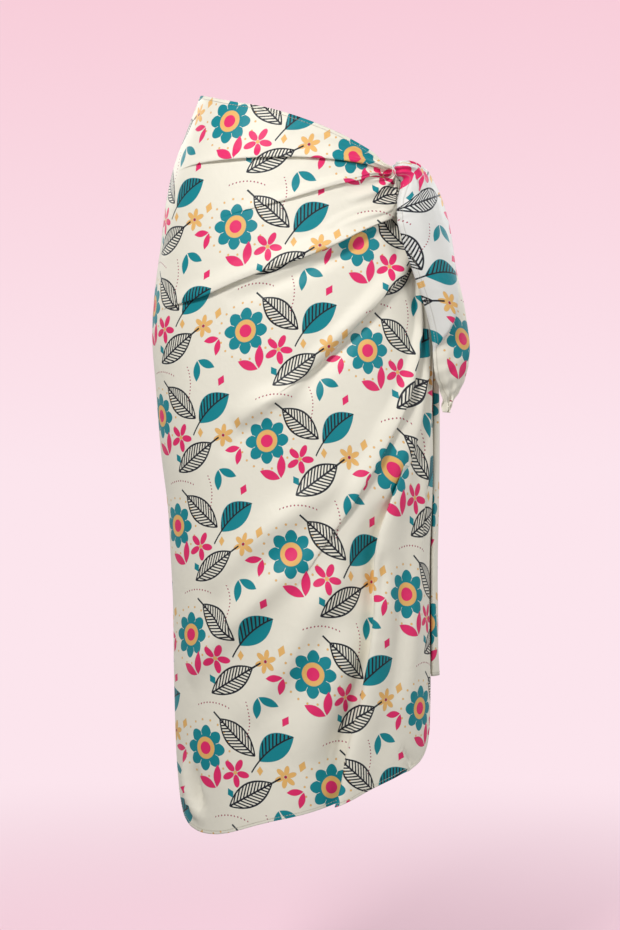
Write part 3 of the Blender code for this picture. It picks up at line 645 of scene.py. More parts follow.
class Fan:
    """A stretch of cloth on rays that run out from the knot, with a fold along some of them."""

    def __init__(self, lines, folds, hem, end_angle, steps):
        self.shares = np.sort(np.concatenate((np.linspace(0, 1, steps) ** RAY_CROWDING, HEM_SHARES)))
        self.lines = lines
        self.names = [line[0] for line in lines]
        curves = [line_curve(line, self.shares, end_angle) for line in lines]
        self.angles, self.heights, self.reach = np.array(curves).transpose(1, 0, 2)
        self.hem = hem
        self.gaps = self.measure_gaps()
        self.folds = [self.measure_fold(fold) for fold in folds]

    def measure_gaps(self):
        """Distance from each line to the next, square to it."""
        points = form_point(self.angles, self.heights)
        along = unit(np.gradient(points, axis=1))[:-1]
        across = np.diff(points, axis=0)
        forward = np.sum(across * along, axis=-1, keepdims=True)
        return np.maximum(np.linalg.norm(across - forward * along, axis=-1), LEAST_GAP)

    def measure_fold(self, fold):
        """The heights, widths and overhang of one fold at each step, no larger than it has room for."""
        name, height_before, width_before, height_after, width_after, start, full, fade, end, lip = fold
        line = self.names.index(name)
        reach = self.reach[line]
        before, after = self.gaps[line - 1:line + 1]
        tallest = STEEPEST_STEP * self.step_span(line)
        starting = ease(start, full, reach)
        room = np.minimum(before, after)
        strength = starting * (1 - ease(fade, end, reach)) * ease(*ROOM_FOR_FOLDS, room)
        return {
            "line": line,
            "swallow": starting * (1 - ease(SWALLOW_FADE * fade, end, reach)),
            "before": np.minimum.reduce((height_before * strength, CREST_ROOM * before, tallest)),
            "after": np.minimum.reduce((height_after * strength, CREST_ROOM * after, tallest)),
            "width_before": np.minimum(width_before, SLOPE_ROOM * before),
            "width_after": np.minimum(width_after, SLOPE_ROOM * after),
            "lip": np.minimum(lip * strength, LIP_ROOM * room),
        }

    def step_span(self, line):
        """Width of the step down from a crest, beside its line."""
        before = self.gaps[max(line - 1, 0)]
        after = self.gaps[min(line, len(self.gaps) - 1)]
        return np.minimum(STEP_SPAN, STEP_SPAN_SHARE * np.minimum(before, after))

    def rise(self, strip, offset):
        """Height of the cloth in a strip at a distance from the line before it."""
        total = np.zeros_like(offset)
        sides = (("before", strip + 1, self.gaps[strip] - offset), ("after", strip, offset))
        for fold in self.folds:
            for side, line, distance in sides:
                if fold["line"] == line:
                    step = self.step_span(line) / 2
                    near = np.clip((distance - step) / (fold["width_" + side] - step), 0, 1)
                    total += fold[side] * (1 + np.cos(np.pi * near)) / 2
        return total

    def place(self, line, offset, lift, around, swallowed):
        """One ray at a distance from a line: angle, height, lift, place round the knot, swallowed cloth."""
        after = min(line, len(self.gaps) - 1)
        before = max(line - 1, 0)
        share_after = np.maximum(offset, 0) / self.gaps[after]
        share_before = np.maximum(-offset, 0) / self.gaps[before]
        angle, height = (
            values[line] + share_after * (values[after + 1] - values[after])
            + share_before * (values[before] - values[before + 1])
            for values in (self.angles, self.heights)
        )
        if line >= self.names.index("corner_line"):
            hem_height, = read_table(self.hem, angle[-1:])
            height = height + (hem_height - height[-1]) * self.shares ** HEM_POWER
        return angle, height, lift, around + 0 * angle, *swallowed

    def taken(self, line):
        """Cloth that one line's folds swallow at each step, across and down."""
        strengths = [fold["swallow"] for fold in self.folds if fold["line"] == line]
        return np.outer(self.lines[line][3], np.maximum.reduce(strengths + [0 * self.shares]))

    def line_rays(self, line, swallowed):
        """The rays on one line: the roll of its folds, or a single ray where it has none."""
        place = self.lines[line][1]
        folds = [fold for fold in self.folds if fold["line"] == line]
        if not folds:
            return [self.place(line, 0 * self.shares, 0 * self.shares, place, swallowed)]
        rays = []
        lip = sum(fold["lip"] for fold in folds)
        for turn in np.linspace(0, 1, ROLL_RAYS):
            offset = self.step_span(line) * (turn - 0.5) + lip * np.sin(2 * np.pi * turn)
            over = ease(0, 1, turn)
            lift = sum(fold["before"] * (1 - over) + fold["after"] * over for fold in folds)
            tucked = swallowed + self.taken(line) * ease(*TUCK, turn)
            rays.append(self.place(line, offset, lift, place, tucked))
        return rays

    def strip_rays(self, strip, swallowed):
        """The plain rays between one line and the next."""
        count = self.lines[strip][2]
        near = self.step_span(strip) / 2
        far = self.gaps[strip] - self.step_span(strip + 1) / 2
        rays = []
        for even in np.arange(1, count + 1) / (count + 1):
            share = even - END_CROWDING * np.sin(2 * np.pi * even) / (2 * np.pi)
            offset = near + (far - near) * share
            around = self.lines[strip][1] * (1 - even) + self.lines[strip + 1][1] * even
            rays.append(self.place(strip, offset, self.rise(strip, offset), around, swallowed))
        return rays

    def rays(self):
        """Angle, height, lift, place round the knot and swallowed cloth, ray by ray; and the corner's ray."""
        rays = []
        swallowed = np.zeros((2, len(self.shares)))
        for line, name in enumerate(self.names):
            if name == "corner_line":
                corner = len(rays)
            rays += self.line_rays(line, swallowed)
            swallowed = swallowed + self.taken(line)
            if line < len(self.names) - 1:
                rays += self.strip_rays(line, swallowed)
        return np.array(rays).transpose(1, 0, 2), corner


def knot_gathers(around, reach):
    """Fine pleats that run out from the knot and fade, on cloth that rises towards it."""
    total = GATHER_RISE * np.exp(-reach / GATHER_RISE_SPAN)
    for height, count, turned, start, full, fade in GATHER_PLEATS:
        strength = ease(start, full, reach) * np.exp(-np.maximum(reach - full, 0) / fade)
        total = total + height * strength * np.sin(np.radians(around * count + turned))
    return total


def cloth_place(angle, height, across, swallowed):
    """Places on the flat cloth, in metres: along its length, and down from its top edge."""
    round_angle = np.where(angle > 100, angle - FULL_TURN, angle)
    lean = GRAIN_LEAN * ease(*LEAN_ANGLES, round_angle)
    level = GIRTH(round_angle, height)
    along = level + lean * (height - GRAIN_PIVOT) + across
    down = GRAIN_TOP - height + lean * level + swallowed
    return np.stack((along, down), axis=-1) * MM


def edge_distance(points, corner):
    """How far the points of a fan lie from its nearest edge; rays before the corner's end at a joined side."""
    top = distance_in(points)
    free = distance_in(points[::-1])[::-1]
    hem = distance_in(points.transpose(1, 0, 2)[::-1])[::-1].T
    hem[:corner] = np.linalg.norm(points[:corner] - points[corner, -1], axis=-1)
    return np.minimum.reduce((top, free, hem))


def new_object(name, data):
    """An object in the scene."""
    obj = bpy.data.objects.new(name, data)
    bpy.context.scene.collection.objects.link(obj)
    return obj


def cloth_object(name, points, faces, places, edges, materials):
    """A smooth object from points in millimetres, with its place on the flat cloth as its UV map."""
    mesh = bpy.data.meshes.new(name)
    mesh.from_pydata((points.reshape(-1, 3) * MM).tolist(), [], faces)
    layer = mesh.uv_layers.new(name="cloth")
    corners = np.zeros(len(mesh.loops), int)
    mesh.loops.foreach_get("vertex_index", corners)
    layer.data.foreach_set("uv", places.reshape(-1, 2)[corners].ravel())
    mesh.attributes.new(EDGE_NAME, "FLOAT", "POINT").data.foreach_set("value", edges.ravel() * MM)
    mesh.polygons.foreach_set("use_smooth", [True] * len(mesh.polygons))
    for material in materials:
        mesh.materials.append(material)
    return new_object(name, mesh)


def thicken(obj):
    """Gives a sheet its thickness, with the next material on its inner side."""
    solid = obj.modifiers.new("thickness", "SOLIDIFY")
    solid.thickness = CLOTH_THICKNESS * MM
    solid.offset = -1.0
    solid.material_offset = 1
    return obj


def grid_faces(first, rows, columns, flip=False):
    """The faces of a grid whose points are numbered row by row from first."""
    index = first + np.arange(rows * columns).reshape(rows, columns)
    faces = np.stack((index[:-1, :-1], index[1:, :-1], index[1:, 1:], index[:-1, 1:]), axis=-1).reshape(-1, 4)
    return (faces[:, ::-1] if flip else faces).tolist()


def tube_faces(first, rings, sides):
    """The faces of a closed tube with flat ends, whose points are numbered ring by ring from first."""
    index = first + np.arange(rings * sides).reshape(rings, sides)
    after = np.roll(index, -1, axis=1)
    faces = np.stack((index[:-1], after[:-1], after[1:], index[1:]), axis=-1).reshape(-1, 4)
    return faces.tolist() + [index[0, ::-1].tolist(), index[-1].tolist()]


def zip_faces(left, left_heights, right, right_heights):
    """Triangles between two columns of points, both ordered downwards, the left one to the viewer's left."""
    faces = []
    i = 0
    j = 0
    while i < len(left) - 1 or j < len(right) - 1:
        right_done = j == len(right) - 1
        if right_done or (i < len(left) - 1 and left_heights[i + 1] >= right_heights[j + 1]):
            faces.append((int(left[i]), int(left[i + 1]), int(right[j])))
            i += 1
        else:
            faces.append((int(left[i]), int(right[j + 1]), int(right[j])))
            j += 1
    return faces


def read_line(at, along, values):
    """Vectors given at the distances in along, read at others."""
    return np.stack([np.interp(at, along, column) for column in values.T], axis=-1)


def seam_line(layers):
    """The line of stitches inside an edge, which is the first layer of points, and its outward directions."""
    reach = distance_in(layers)
    columns = range(layers.shape[1])
    path = np.array([read_line(HEM_DEPTH, reach[:, j], layers[:, j]) for j in columns])
    return path, outward(np.cross(np.gradient(path, axis=0), path - layers[0]), path)


def side_seam(points):
    """The line of stitches inside the first column of a grid of points."""
    return seam_line(points.transpose(1, 0, 2))


def wrap_cloth(materials):
    """The whole wound stretch: front and back joined down the left side."""
    fan = Fan(FRONT_LINES, FRONT_FOLDS, FRONT_HEM, SEAM_ANGLE, FRONT_STEPS)
    (angle, height, lift, around, across, down), corner = fan.rays()
    reach = np.linalg.norm(form_point(angle, height) - form_point(KNOT_ANGLE, KNOT_HEIGHT), axis=-1)
    creases = [
        (width, rise, [(front_angle(x, z), z) for x, z in places]) for width, rise, places in FRONT_CREASES
    ]
    extra = crease_lift(angle, height, creases) + broad_lift(angle, height) * ease(*FREE_OF_KNOT, reach)
    settled = ease(SEAM_ANGLE, SEAM_ANGLE + SEAM_SETTLES, angle)
    front = form_point(angle, height, lift + extra * settled + knot_gathers(around, reach))
    front_places = cloth_place(angle, height, across, down)
    front_side = height[:corner + 1, -1]

    fan = Fan(BACK_LINES, BACK_FOLDS, BACK_HEM, SEAM_ANGLE + FULL_TURN, BACK_STEPS)
    (angle, height, lift, around, across, down), back_corner = fan.rays()
    round_angle = angle - FULL_TURN
    creases = [(width, rise, [(a - FULL_TURN, z) for a, z in places]) for width, rise, places in BACK_CREASES]
    extra = crease_lift(round_angle, height, creases) + broad_lift(round_angle, height)
    settled = ease(SEAM_ANGLE, SEAM_ANGLE - SEAM_SETTLES, round_angle)
    settled = settled * ease(UNDER_TO_ANGLE - 4, UNDER_TO_ANGLE + 8, angle)
    whole_back = form_point(angle, height, lift + extra * settled + under_drop(angle))
    back = whole_back[:, :-1]
    back_places = cloth_place(angle, height, across, down)[:, :-1]

    rows, columns = front.shape[:2]
    back_rows, back_columns = back.shape[:2]
    first = rows * columns
    right = np.arange(corner + 1) * columns + columns - 1
    left = first + np.arange(back_corner + 1) * back_columns + back_columns - 1
    faces = grid_faces(0, rows, columns, flip=True) + grid_faces(first, back_rows, back_columns)
    faces += zip_faces(left, height[:back_corner + 1, -1], right, front_side)
    points = np.concatenate((front.reshape(-1, 3), back.reshape(-1, 3)))
    places = np.concatenate((front_places.reshape(-1, 2), back_places.reshape(-1, 2)))
    edges = edge_distance(front, corner).ravel(), edge_distance(whole_back, back_corner)[:, :-1].ravel()
    obj = cloth_object("wrapped_cloth", points, faces, places, np.concatenate(edges), materials)
    clear = SEAM_CLEAR_COLUMNS
    seams = [
        seam_line(front[:, clear:]),
        seam_line(front[::-1, 2 * clear:]),
        side_seam(front[corner:, ::-1]),
        seam_line(back[:, clear:]),
        side_seam(back[back_corner:, ::-1]),
    ]
    return thicken(obj), seams


def roll_section(half_width, depth, crown, columns):
    """Flat rolls seen end on, open at one side: places across and out, where it is the upper layer, reach."""
    straight = 2 * half_width - depth
    turn = np.pi * depth
    reach = np.linspace(0, 1, columns) * (straight + turn + UNDER_LAYER_SHARE * straight)
    side = np.clip((reach - straight) / depth, 0, np.pi)
    under = np.maximum(reach - straight - turn, 0)
    across = np.minimum(reach, straight) - half_width + depth * np.sin(side) - under
    upper = np.clip(1 - side / (np.pi / 2), 0, 1)
    out = depth * np.cos(side) + upper * crown * (1 - (across / half_width) ** 2)
    return across, out, upper, reach


def ear_gathers(flat, down, length):
    """Pleats that run out from the knot and into the tip, small puckers on the inner edge, and a waist."""
    top = np.exp(-down / EAR_TOP_FADE) * ease(2, 18, down)
    tip = np.exp(-(length - down) / EAR_TIP_FADE)
    on_edge = np.exp(-((flat + 1) / PUCKER_REACH) ** 2) * ease(34, 44, down) * (1 - ease(78, 96, down))
    puckers = np.sin(down * 0.55 + 1.5 * np.sin(down * 0.19) + 2 * flat)
    waist = np.exp(-((down - EAR_WAIST_AT) / EAR_WAIST_REACH) ** 2) * (1 - ease(-0.6, 0.6, flat))
    pleats = top * waves(EAR_TOP_PLEATS, flat, down) + tip * waves(EAR_TIP_PLEATS, flat, down)
    return pleats + PUCKER_HEIGHT * on_edge * puckers - EAR_WAIST_DEPTH * waist


def ear_cloth(materials):
    """The hanging corner: a flat roll, open at its inner edge, with two lobes and gathers at both ends."""
    rows, columns = EAR_GRID
    values = refine(EAR_ROWS, rows)
    inner = values[:3].T
    outer = values[3:6].T
    depth, crown, lobe_end = values[6:, :, None]
    middle = (inner + outer) / 2
    half_width = np.linalg.norm(outer - inner, axis=-1, keepdims=True) / 2
    side = unit(outer - inner)
    out = outward(np.cross(side, np.gradient(middle, axis=0)), middle)
    down = distance_in(middle)[:, None]
    across, rise, upper, reach = roll_section(half_width, depth, crown, columns)
    flat = across / half_width
    past_lobe = flat - lobe_end
    rise += upper * EAR_LOBE_STEP * ease(-LOBE_SOFTNESS, LOBE_ROUND, -past_lobe) * (1 - flat ** 4)
    rise -= upper * EAR_EDGE_DROP * (1 - ease(*EAR_EDGE_SPAN, flat))
    rise += upper * ear_gathers(flat, down, down[-1])
    points = middle[:, None] + side[:, None] * across[..., None] + out[:, None] * rise[..., None]
    taken = EAR_SWALLOWED * np.maximum.accumulate(ease(-LOBE_SOFTNESS, LOBE_SOFTNESS, past_lobe), axis=1)
    turn = np.radians(EAR_TURN)
    along = reach + taken
    places = along * np.cos(turn) + down * np.sin(turn), down * np.cos(turn) - along * np.sin(turn)
    places = (np.stack(places, axis=-1) + EAR_PLACE) * MM
    edges = np.minimum(reach, reach[:, -1:] - reach)
    obj = cloth_object("hanging_corner", points, grid_faces(0, rows, columns), places, edges, materials)
    # Faces of the rear lobe take the creamier ground: painted shade behind the fold between the lobes
    in_rear = np.maximum.accumulate(past_lobe > 0, axis=1)[:-1, 1:].ravel()
    obj.data.polygons.foreach_set("material_index", np.where(in_rear, REAR_MATERIAL, 0).tolist())
    return thicken(obj), [side_seam(points[slice(*EAR_SEAM_ROWS)])]


def fall_cloth(materials):
    """The long fall at the side, which lies on the back stretch."""
    rows, columns = FALL_GRID
    height, front_end, rear_end, depth, crown = refine(FALL_ROWS, rows)[..., None]
    half_width = np.linalg.norm(form_point(rear_end, height) - form_point(front_end, height), axis=-1) / 2
    across, out, upper, reach = roll_section(half_width, depth, crown, columns)
    across = -across
    flat = across / half_width
    angle = (front_end + rear_end) / 2 + flat * (rear_end - front_end) / 2
    ripple = upper * waves(FALL_RIPPLES, across, height) * ease(*FALL_RIPPLES_FROM, height)
    tucked = FALL_TUCK * (1 - ease(*FALL_TUCK_SPAN, flat))
    points = form_point(angle, height, out + ripple + depth + CLOTH_WALL / 2 + FALL_CLEARANCE - tucked)
    places = np.stack((reach + FALL_PLACE, GRAIN_TOP - height + 0 * reach), axis=-1) * MM
    edges = np.minimum.reduce((reach, reach[:, -1:] - reach, height - FALL_ROWS[-1, 0] + 0 * reach))
    faces = grid_faces(0, rows, columns, flip=True)
    obj = cloth_object("side_fall", points, faces, places, edges, materials)
    upper_layer = int(columns * FALL_UPPER_SHARE)
    return thicken(obj), [side_seam(points[FALL_SEAM_ROW:]), seam_line(points[::-1, :upper_layer])]


def knot_cloth(materials):
    """The tied corners: pleats drawn together into a lump that narrows to the right."""
    base, beside = form_point(np.array((KNOT_ANGLE, KNOT_ANGLE + 1)), KNOT_HEIGHT)
    across = unit(beside - base)
    out = np.array((across[1], -across[0], 0.0))
    up = np.array((0.0, 0.0, 1.0))
    rows, columns = KNOT_GRID
    share = np.linspace(-1, 1, rows)[:, None]
    around = np.linspace(0, 2 * np.pi, columns, endpoint=False)
    fullness = KNOT_END + (1 - KNOT_END) * np.sqrt(1 - abs(share) ** KNOT_BLUNTNESS)
    pleats = 1 + waves(KNOT_PLEATS, around, share)
    waist = 1 - KNOT_WAIST_DEPTH * np.exp(-((share - KNOT_WAIST_AT) / KNOT_WAIST_REACH) ** 2)
    lobes = fullness * pleats * waist
    height = KNOT_HALF_HEIGHT * lobes * np.cos(around) + KNOT_LEAN * share
    depth = np.maximum(KNOT_DEPTH / 2 * (1 + lobes * np.sin(around)), KNOT_BACK)
    points = base + across * KNOT_REACH * share[..., None] + height[..., None] * up + depth[..., None] * out
    places = np.stack((around * 8 + 0 * share, 9 * share + 0 * around), axis=-1) + KNOT_PLACE
    inside = np.full(rows * columns, FAR_FROM_EDGE)
    return cloth_object("knot_pleats", points, tube_faces(0, rows, columns), places * MM, inside, materials)


def hem_stitches(seams, material):
    """One mesh of all the stitches: short threads that dip into the cloth at both ends."""
    turn = np.linspace(0, 2 * np.pi, STITCH_SIDES, endpoint=False)
    points = []
    faces = []
    for path, out in seams:
        along = distance_in(path)
        for start in np.arange(STITCH_PITCH / 2, along[-1] - STITCH_LENGTH, STITCH_PITCH):
            at = start + STITCH_LENGTH * STITCH_STEPS
            up = unit(read_line(at, along, out))
            middle = read_line(at, along, path) + up * STITCH_HEIGHTS[:, None]
            side = unit(np.cross(middle[-1] - middle[0], up))
            faces += tube_faces(len(points), len(STITCH_RADII), STITCH_SIDES)
            for k, radius in enumerate(STITCH_RADII):
                ring = np.outer(np.cos(turn), side[k]) + np.outer(np.sin(turn), up[k])
                points += list(middle[k] + radius * ring)
    mesh = bpy.data.meshes.new("hem_stitches")
    mesh.from_pydata((np.array(points) * MM).tolist(), [], faces)
    form = bmesh.new()
    form.from_mesh(mesh)
    bmesh.ops.recalc_face_normals(form, faces=form.faces)
    form.to_mesh(mesh)
    form.free()
    mesh.materials.append(material)
    return new_object("hem_stitches", mesh)


# Colours of the cloth and its inks, linear
GROUND = (0.86, 0.82, 0.71)
# Ground of the hanging corner and knot: cooler than the wrap's, and darkened as painted shade
COOL_GROUND_WITH_PAINTED_SHADE = (0.78, 0.775, 0.75)
INKS = {
    "teal": (0.0, 0.24, 0.29),
    "ochre": (0.84, 0.48, 0.15),
    "pink": (0.80, 0.022, 0.15),
    "crimson": (0.40, 0.012, 0.06),
    "black": (0.012, 0.010, 0.018),
}
WRONG_SIDE_FADING = 0.62
# Painted shade in the hem's stitched groove, partly wear
GROOVE_PAINTED_SHADE = (0.36, 0.32, 0.25)
THREAD = (0.78, 0.74, 0.62)

# The print's repeat, the spread of its motifs and the softness of its edges, then the weave's threads
REPEAT = (0.172, 0.154)
MOTIF_SPREAD = 0.895
INK_EDGE = 0.0005
WARP_PITCH = 0.0007
WEFT_PITCH = 0.0009
WEFT_SLANT = 0.35

# The studio: colours and sizes, then its lights: name, place, size, power, colour
BACKDROP = (0.973, 0.783, 0.847)
BACKDROP_TOP = (0.939, 0.617, 0.701)
BACKDROP_FADE = (-0.5, 2.9)
FLOOR = (0.98, 0.685, 0.79)
FLOOR_FADE = (0.5, 2.6)
FLOOR_SIDE = 18.0
FLOOR_DROP = 0.30
DOME_RADIUS = 13.0
WORLD_COLOUR = (1.0, 0.985, 0.97)
WORLD_STRENGTH = 0.37
LIGHTS_AIM = (0, 0, -0.4)
LIGHTS = (
    ("key", (-0.75, -1.9, 1.2), 0.55, 41, (1.0, 0.99, 0.97)),
    ("fill", (2.0, -1.7, 0.3), 1.2, 14, (1.0, 0.99, 0.98)),
    ("back_left", (-1.8, 2.0, 0.9), 1.2, 22, (1.0, 0.99, 0.97)),
    ("back_right", (2.0, 1.5, 0.7), 1.2, 24, (0.98, 0.99, 1.0)),
)
CAMERA_PLACE = (0.0168, -3.0, -0.469)
CAMERA_LENS = 83.0
CAMERA_SENSOR = 36.0


def feed(tree, node, inputs):
    """Links a node's inputs from fields and sockets, and sets the others to plain values."""
    for name, value in inputs.items():
        if isinstance(value, Field):
            value = value.socket
        if isinstance(value, bpy.types.NodeSocket):
            tree.links.new(value, node.inputs[name])
        else:
            node.inputs[name].default_value = value
    return node


def add_node(tree, kind, inputs, **settings):
    """A shader node with its settings and its inputs."""
    node = tree.nodes.new("ShaderNode" + kind)
    for name, value in settings.items():
        setattr(node, name, value)
    return feed(tree, node, inputs)


class Field:
    """A number that varies over a surface, with arithmetic that adds nodes to a tree."""

    tree = None

    def __init__(self, socket):
        self.socket = socket

    @classmethod
    def math(cls, operation, *values, clamp=False):
        inputs = dict(enumerate(values))
        return cls(add_node(cls.tree, "Math", inputs, operation=operation, use_clamp=clamp).outputs[0])

    def __add__(self, other):
        return Field.math("ADD", self, other)

    def __sub__(self, other):
        return Field.math("SUBTRACT", self, other)

    def __rsub__(self, other):
        return Field.math("SUBTRACT", other, self)

    def __mul__(self, other):
        return Field.math("MULTIPLY", self, other)

    def __truediv__(self, other):
        return Field.math("DIVIDE", self, other)

    def __neg__(self):
        return self * -1

    def __abs__(self):
        return Field.math("ABSOLUTE", self)

    def __round__(self):
        return Field.math("ROUND", self)


def size_of(x, y):
    return Field.math("SQRT", x * x + y * y)


def off_whole(value):
    """How far a number is from the nearest whole one."""
    return value - round(value)


def bow(x, half_length, height):
    """Height of an arch over x, from nothing at one end to nothing at the other."""
    share = x / half_length
    return (1 - share * share) * height


def inked(distance, edge=INK_EDGE):
    """1 where distance is below 0, 0 above, with a narrow edge."""
    return Field.math("MULTIPLY_ADD", distance, -1 / edge, 0.5, clamp=True)


def either(masks):
    total = masks[0]
    for mask in masks[1:]:
        total = Field.math("MAXIMUM", total, mask)
    return total


def motif_place(u, v, at, turn, size):
    """Coordinates about the nearest copy of a motif in a half-drop repeat, turned and scaled, in metres."""
    across = (u - at[0] * MOTIF_SPREAD) / REPEAT[0]
    x = off_whole(across) * REPEAT[0]
    y = off_whole((v - at[1] * MOTIF_SPREAD) / REPEAT[1] + round(across) * 0.5) * REPEAT[1]
    cos = np.cos(np.radians(turn)) / size
    sin = np.sin(np.radians(turn)) / size
    return x * cos + y * sin, y * cos - x * sin


def bloom(x, y, petals=8, dots=18, dot_ring=0.0345):
    """A round flower: teal petals, an ochre ring, a pink heart, and a ring of small ochre dots."""
    radius = size_of(x, y)
    angle = Field.math("ARCTAN2", y, x)
    wave = abs(Field.math("COSINE", angle * (petals / 2)))
    slit = inked(abs(Field.math("SINE", angle * (petals / 2) + np.pi / 2)) * radius - 0.0011)
    slit = slit * inked(0.0165 - radius)
    dot_off = off_whole(angle * (dots / (2 * np.pi))) * (2 * np.pi / dots * dot_ring)
    dotted = inked(size_of(dot_off, radius - dot_ring) - 0.0014)
    return {
        "teal": inked(radius - wave * 0.0075 - 0.0205) * (1 - slit),
        "ochre": either((inked(radius - 0.0135), dotted)),
        "pink": inked(radius - 0.0078),
    }


def fern(x, y, mirror=1, vein_pitch=0.0050):
    """A leaf drawn in black: a stem, an outline and slanting veins."""
    x = x * mirror + y * y * 6.0
    side = abs(y)
    inside = side - bow(x, 0.031, 0.0135)
    outline = inked(abs(inside) - 0.0011) * inked(abs(x) - 0.0315)
    vein = abs(off_whole((x + side * 0.9) / vein_pitch)) * vein_pitch
    stem = inked(side - 0.0011) * inked(abs(x + 0.006) - 0.037)
    return {"black": either((outline, inked(vein - 0.0012) * inked(inside), stem))}


def veined_leaf(x, y, vein_pitch=0.0056):
    """A broad teal leaf with a black stem and black veins on one half."""
    y = y - x * x * 5.0
    half = bow(x, 0.027, 0.0165) + x * 0.12
    side = abs(y)
    lower = inked(-y - half + 0.001) * inked(y - 0.001)
    vein = abs(off_whole((x - side * 0.75) / vein_pitch)) * vein_pitch
    stem = inked(side - 0.0010) * inked(abs(x + 0.007) - 0.034)
    return {"teal": inked(side - half), "black": either((inked(vein - 0.0012) * lower, stem))}


def blossom(x, y, petals, colour, heart):
    """A small open flower with separate petals."""
    radius = size_of(x, y)
    off = off_whole(Field.math("ARCTAN2", y, x) * (petals / (2 * np.pi))) * (2 * np.pi / petals)
    across = Field.math("SINE", off) * radius
    along = Field.math("COSINE", off) * radius - 0.0068
    return {colour: inked(size_of(across * 1.9, along) - 0.0052), heart: inked(radius - 0.0017)}


def leaf_pair(x, y, colour):
    """Two pointed leaves that meet at their stalks."""
    along = x * 0.82 + abs(y) * 0.57 - 0.0115
    across = x * -0.57 + abs(y) * 0.82
    return {colour: inked(abs(across) - bow(along, 0.0105, 0.0042))}


def dotted_arc(x, y, colour, pitch=0.0046):
    """Small dots along an arc."""
    off = off_whole(x / pitch) * pitch
    return {colour: inked(size_of(off, y - x * x * 9.0) - 0.0010) * inked(abs(x) - 0.0235)}


def diamond(x, y, colour):
    """One small diamond."""
    return {colour: inked(abs(x) * 1.5 + abs(y) - 0.0068)}


# The print: motif, its place in the repeat, turn, size, then what that motif takes
MOTIFS = (
    (bloom, (0.034, 0.040), 12, 1.12),
    (veined_leaf, (0.146, 0.052), -28, 1.1),
    (fern, (0.092, 0.030), 52, 1.12),
    (fern, (0.098, 0.118), -20, 1.15, -1),
    (blossom, (0.080, 0.082), 20, 1.7, 5, "pink", "ochre"),
    (blossom, (0.158, 0.098), 50, 1.3, 6, "ochre", "crimson"),
    (leaf_pair, (0.043, 0.103), 250, 1.5, "pink"),
    (leaf_pair, (0.138, 0.146), 70, 1.35, "teal"),
    (leaf_pair, (0.182, 0.124), 150, 1.1, "pink"),
    (dotted_arc, (0.060, 0.146), 12, 1.1, "crimson"),
    (dotted_arc, (0.118, 0.006), 100, 1.0, "crimson"),
    (diamond, (0.186, 0.086), 30, 1.2, "ochre"),
    (diamond, (0.066, 0.112), -20, 1.1, "teal"),
    (diamond, (0.120, 0.084), 10, 1.0, "ochre"),
    (diamond, (0.172, 0.016), 40, 1.2, "pink"),
)


def flat_place(tree, socket):
    """A place on the flat cloth as two fields, along its length and down it."""
    Field.tree = tree
    split = add_node(tree, "SeparateXYZ", {0: socket})
    return Field(split.outputs[0]), Field(split.outputs[1])


def mixed(tree, factor, first, second, kind="MIX"):
    """A colour mixed from two, each a socket or a plain colour."""
    first, second = ((*value, 1) if isinstance(value, tuple) else value for value in (first, second))
    inputs = {"Factor": factor, "A": first, "B": second}
    return add_node(tree, "Mix", inputs, data_type="RGBA", blend_type=kind).outputs["Result"]


def print_group():
    """The cloth's print as a node group: its ink colour, and how much of the surface the inks cover."""
    group = bpy.data.node_groups.new("print", "ShaderNodeTree")
    group.interface.new_socket("Cloth", in_out="INPUT", socket_type="NodeSocketVector")
    group.interface.new_socket("Ink", in_out="OUTPUT", socket_type="NodeSocketColor")
    group.interface.new_socket("Cover", in_out="OUTPUT", socket_type="NodeSocketFloat")
    u, v = flat_place(group, group.nodes.new("NodeGroupInput").outputs[0])
    layers = [motif(*motif_place(u, v, at, turn, size), *rest) for motif, at, turn, size, *rest in MOTIFS]
    colour = INKS["teal"]
    masks = []
    for name, shade in INKS.items():
        masks.append(either([layer[name] for layer in layers if name in layer]))
        colour = mixed(group, masks[-1], colour, shade)
    feed(group, group.nodes.new("NodeGroupOutput"), {"Ink": colour, "Cover": either(masks)})
    return group


def new_material(name, **inputs):
    """A material with a plain shader, its node tree and the shader; _ in an input's name stands for a space."""
    material = bpy.data.materials.new(name)
    material.use_nodes = True
    tree = material.node_tree
    shader = tree.nodes["Principled BSDF"]
    feed(tree, shader, {key.replace("_", " "): value for key, value in inputs.items()})
    return material, tree, shader


def noise(tree, place, scale, detail=2.0, distortion=0.0):
    """A soft random number from 0 to 1 at each place."""
    inputs = {"Vector": place, "Scale": scale, "Detail": detail, "Distortion": distortion}
    return add_node(tree, "TexNoise", inputs).outputs["Fac"]


def ranged(tree, value, low, high):
    """A number from 0 to 1, spread from low to high."""
    return add_node(tree, "MapRange", {"Value": value, "To Min": low, "To Max": high}).outputs[0]


def bump(tree, height, strength, distance, **normal):
    """A normal that leans as a relief of that height would."""
    inputs = {"Height": height, "Strength": strength, "Distance": distance, **normal}
    return add_node(tree, "Bump", inputs).outputs[0]


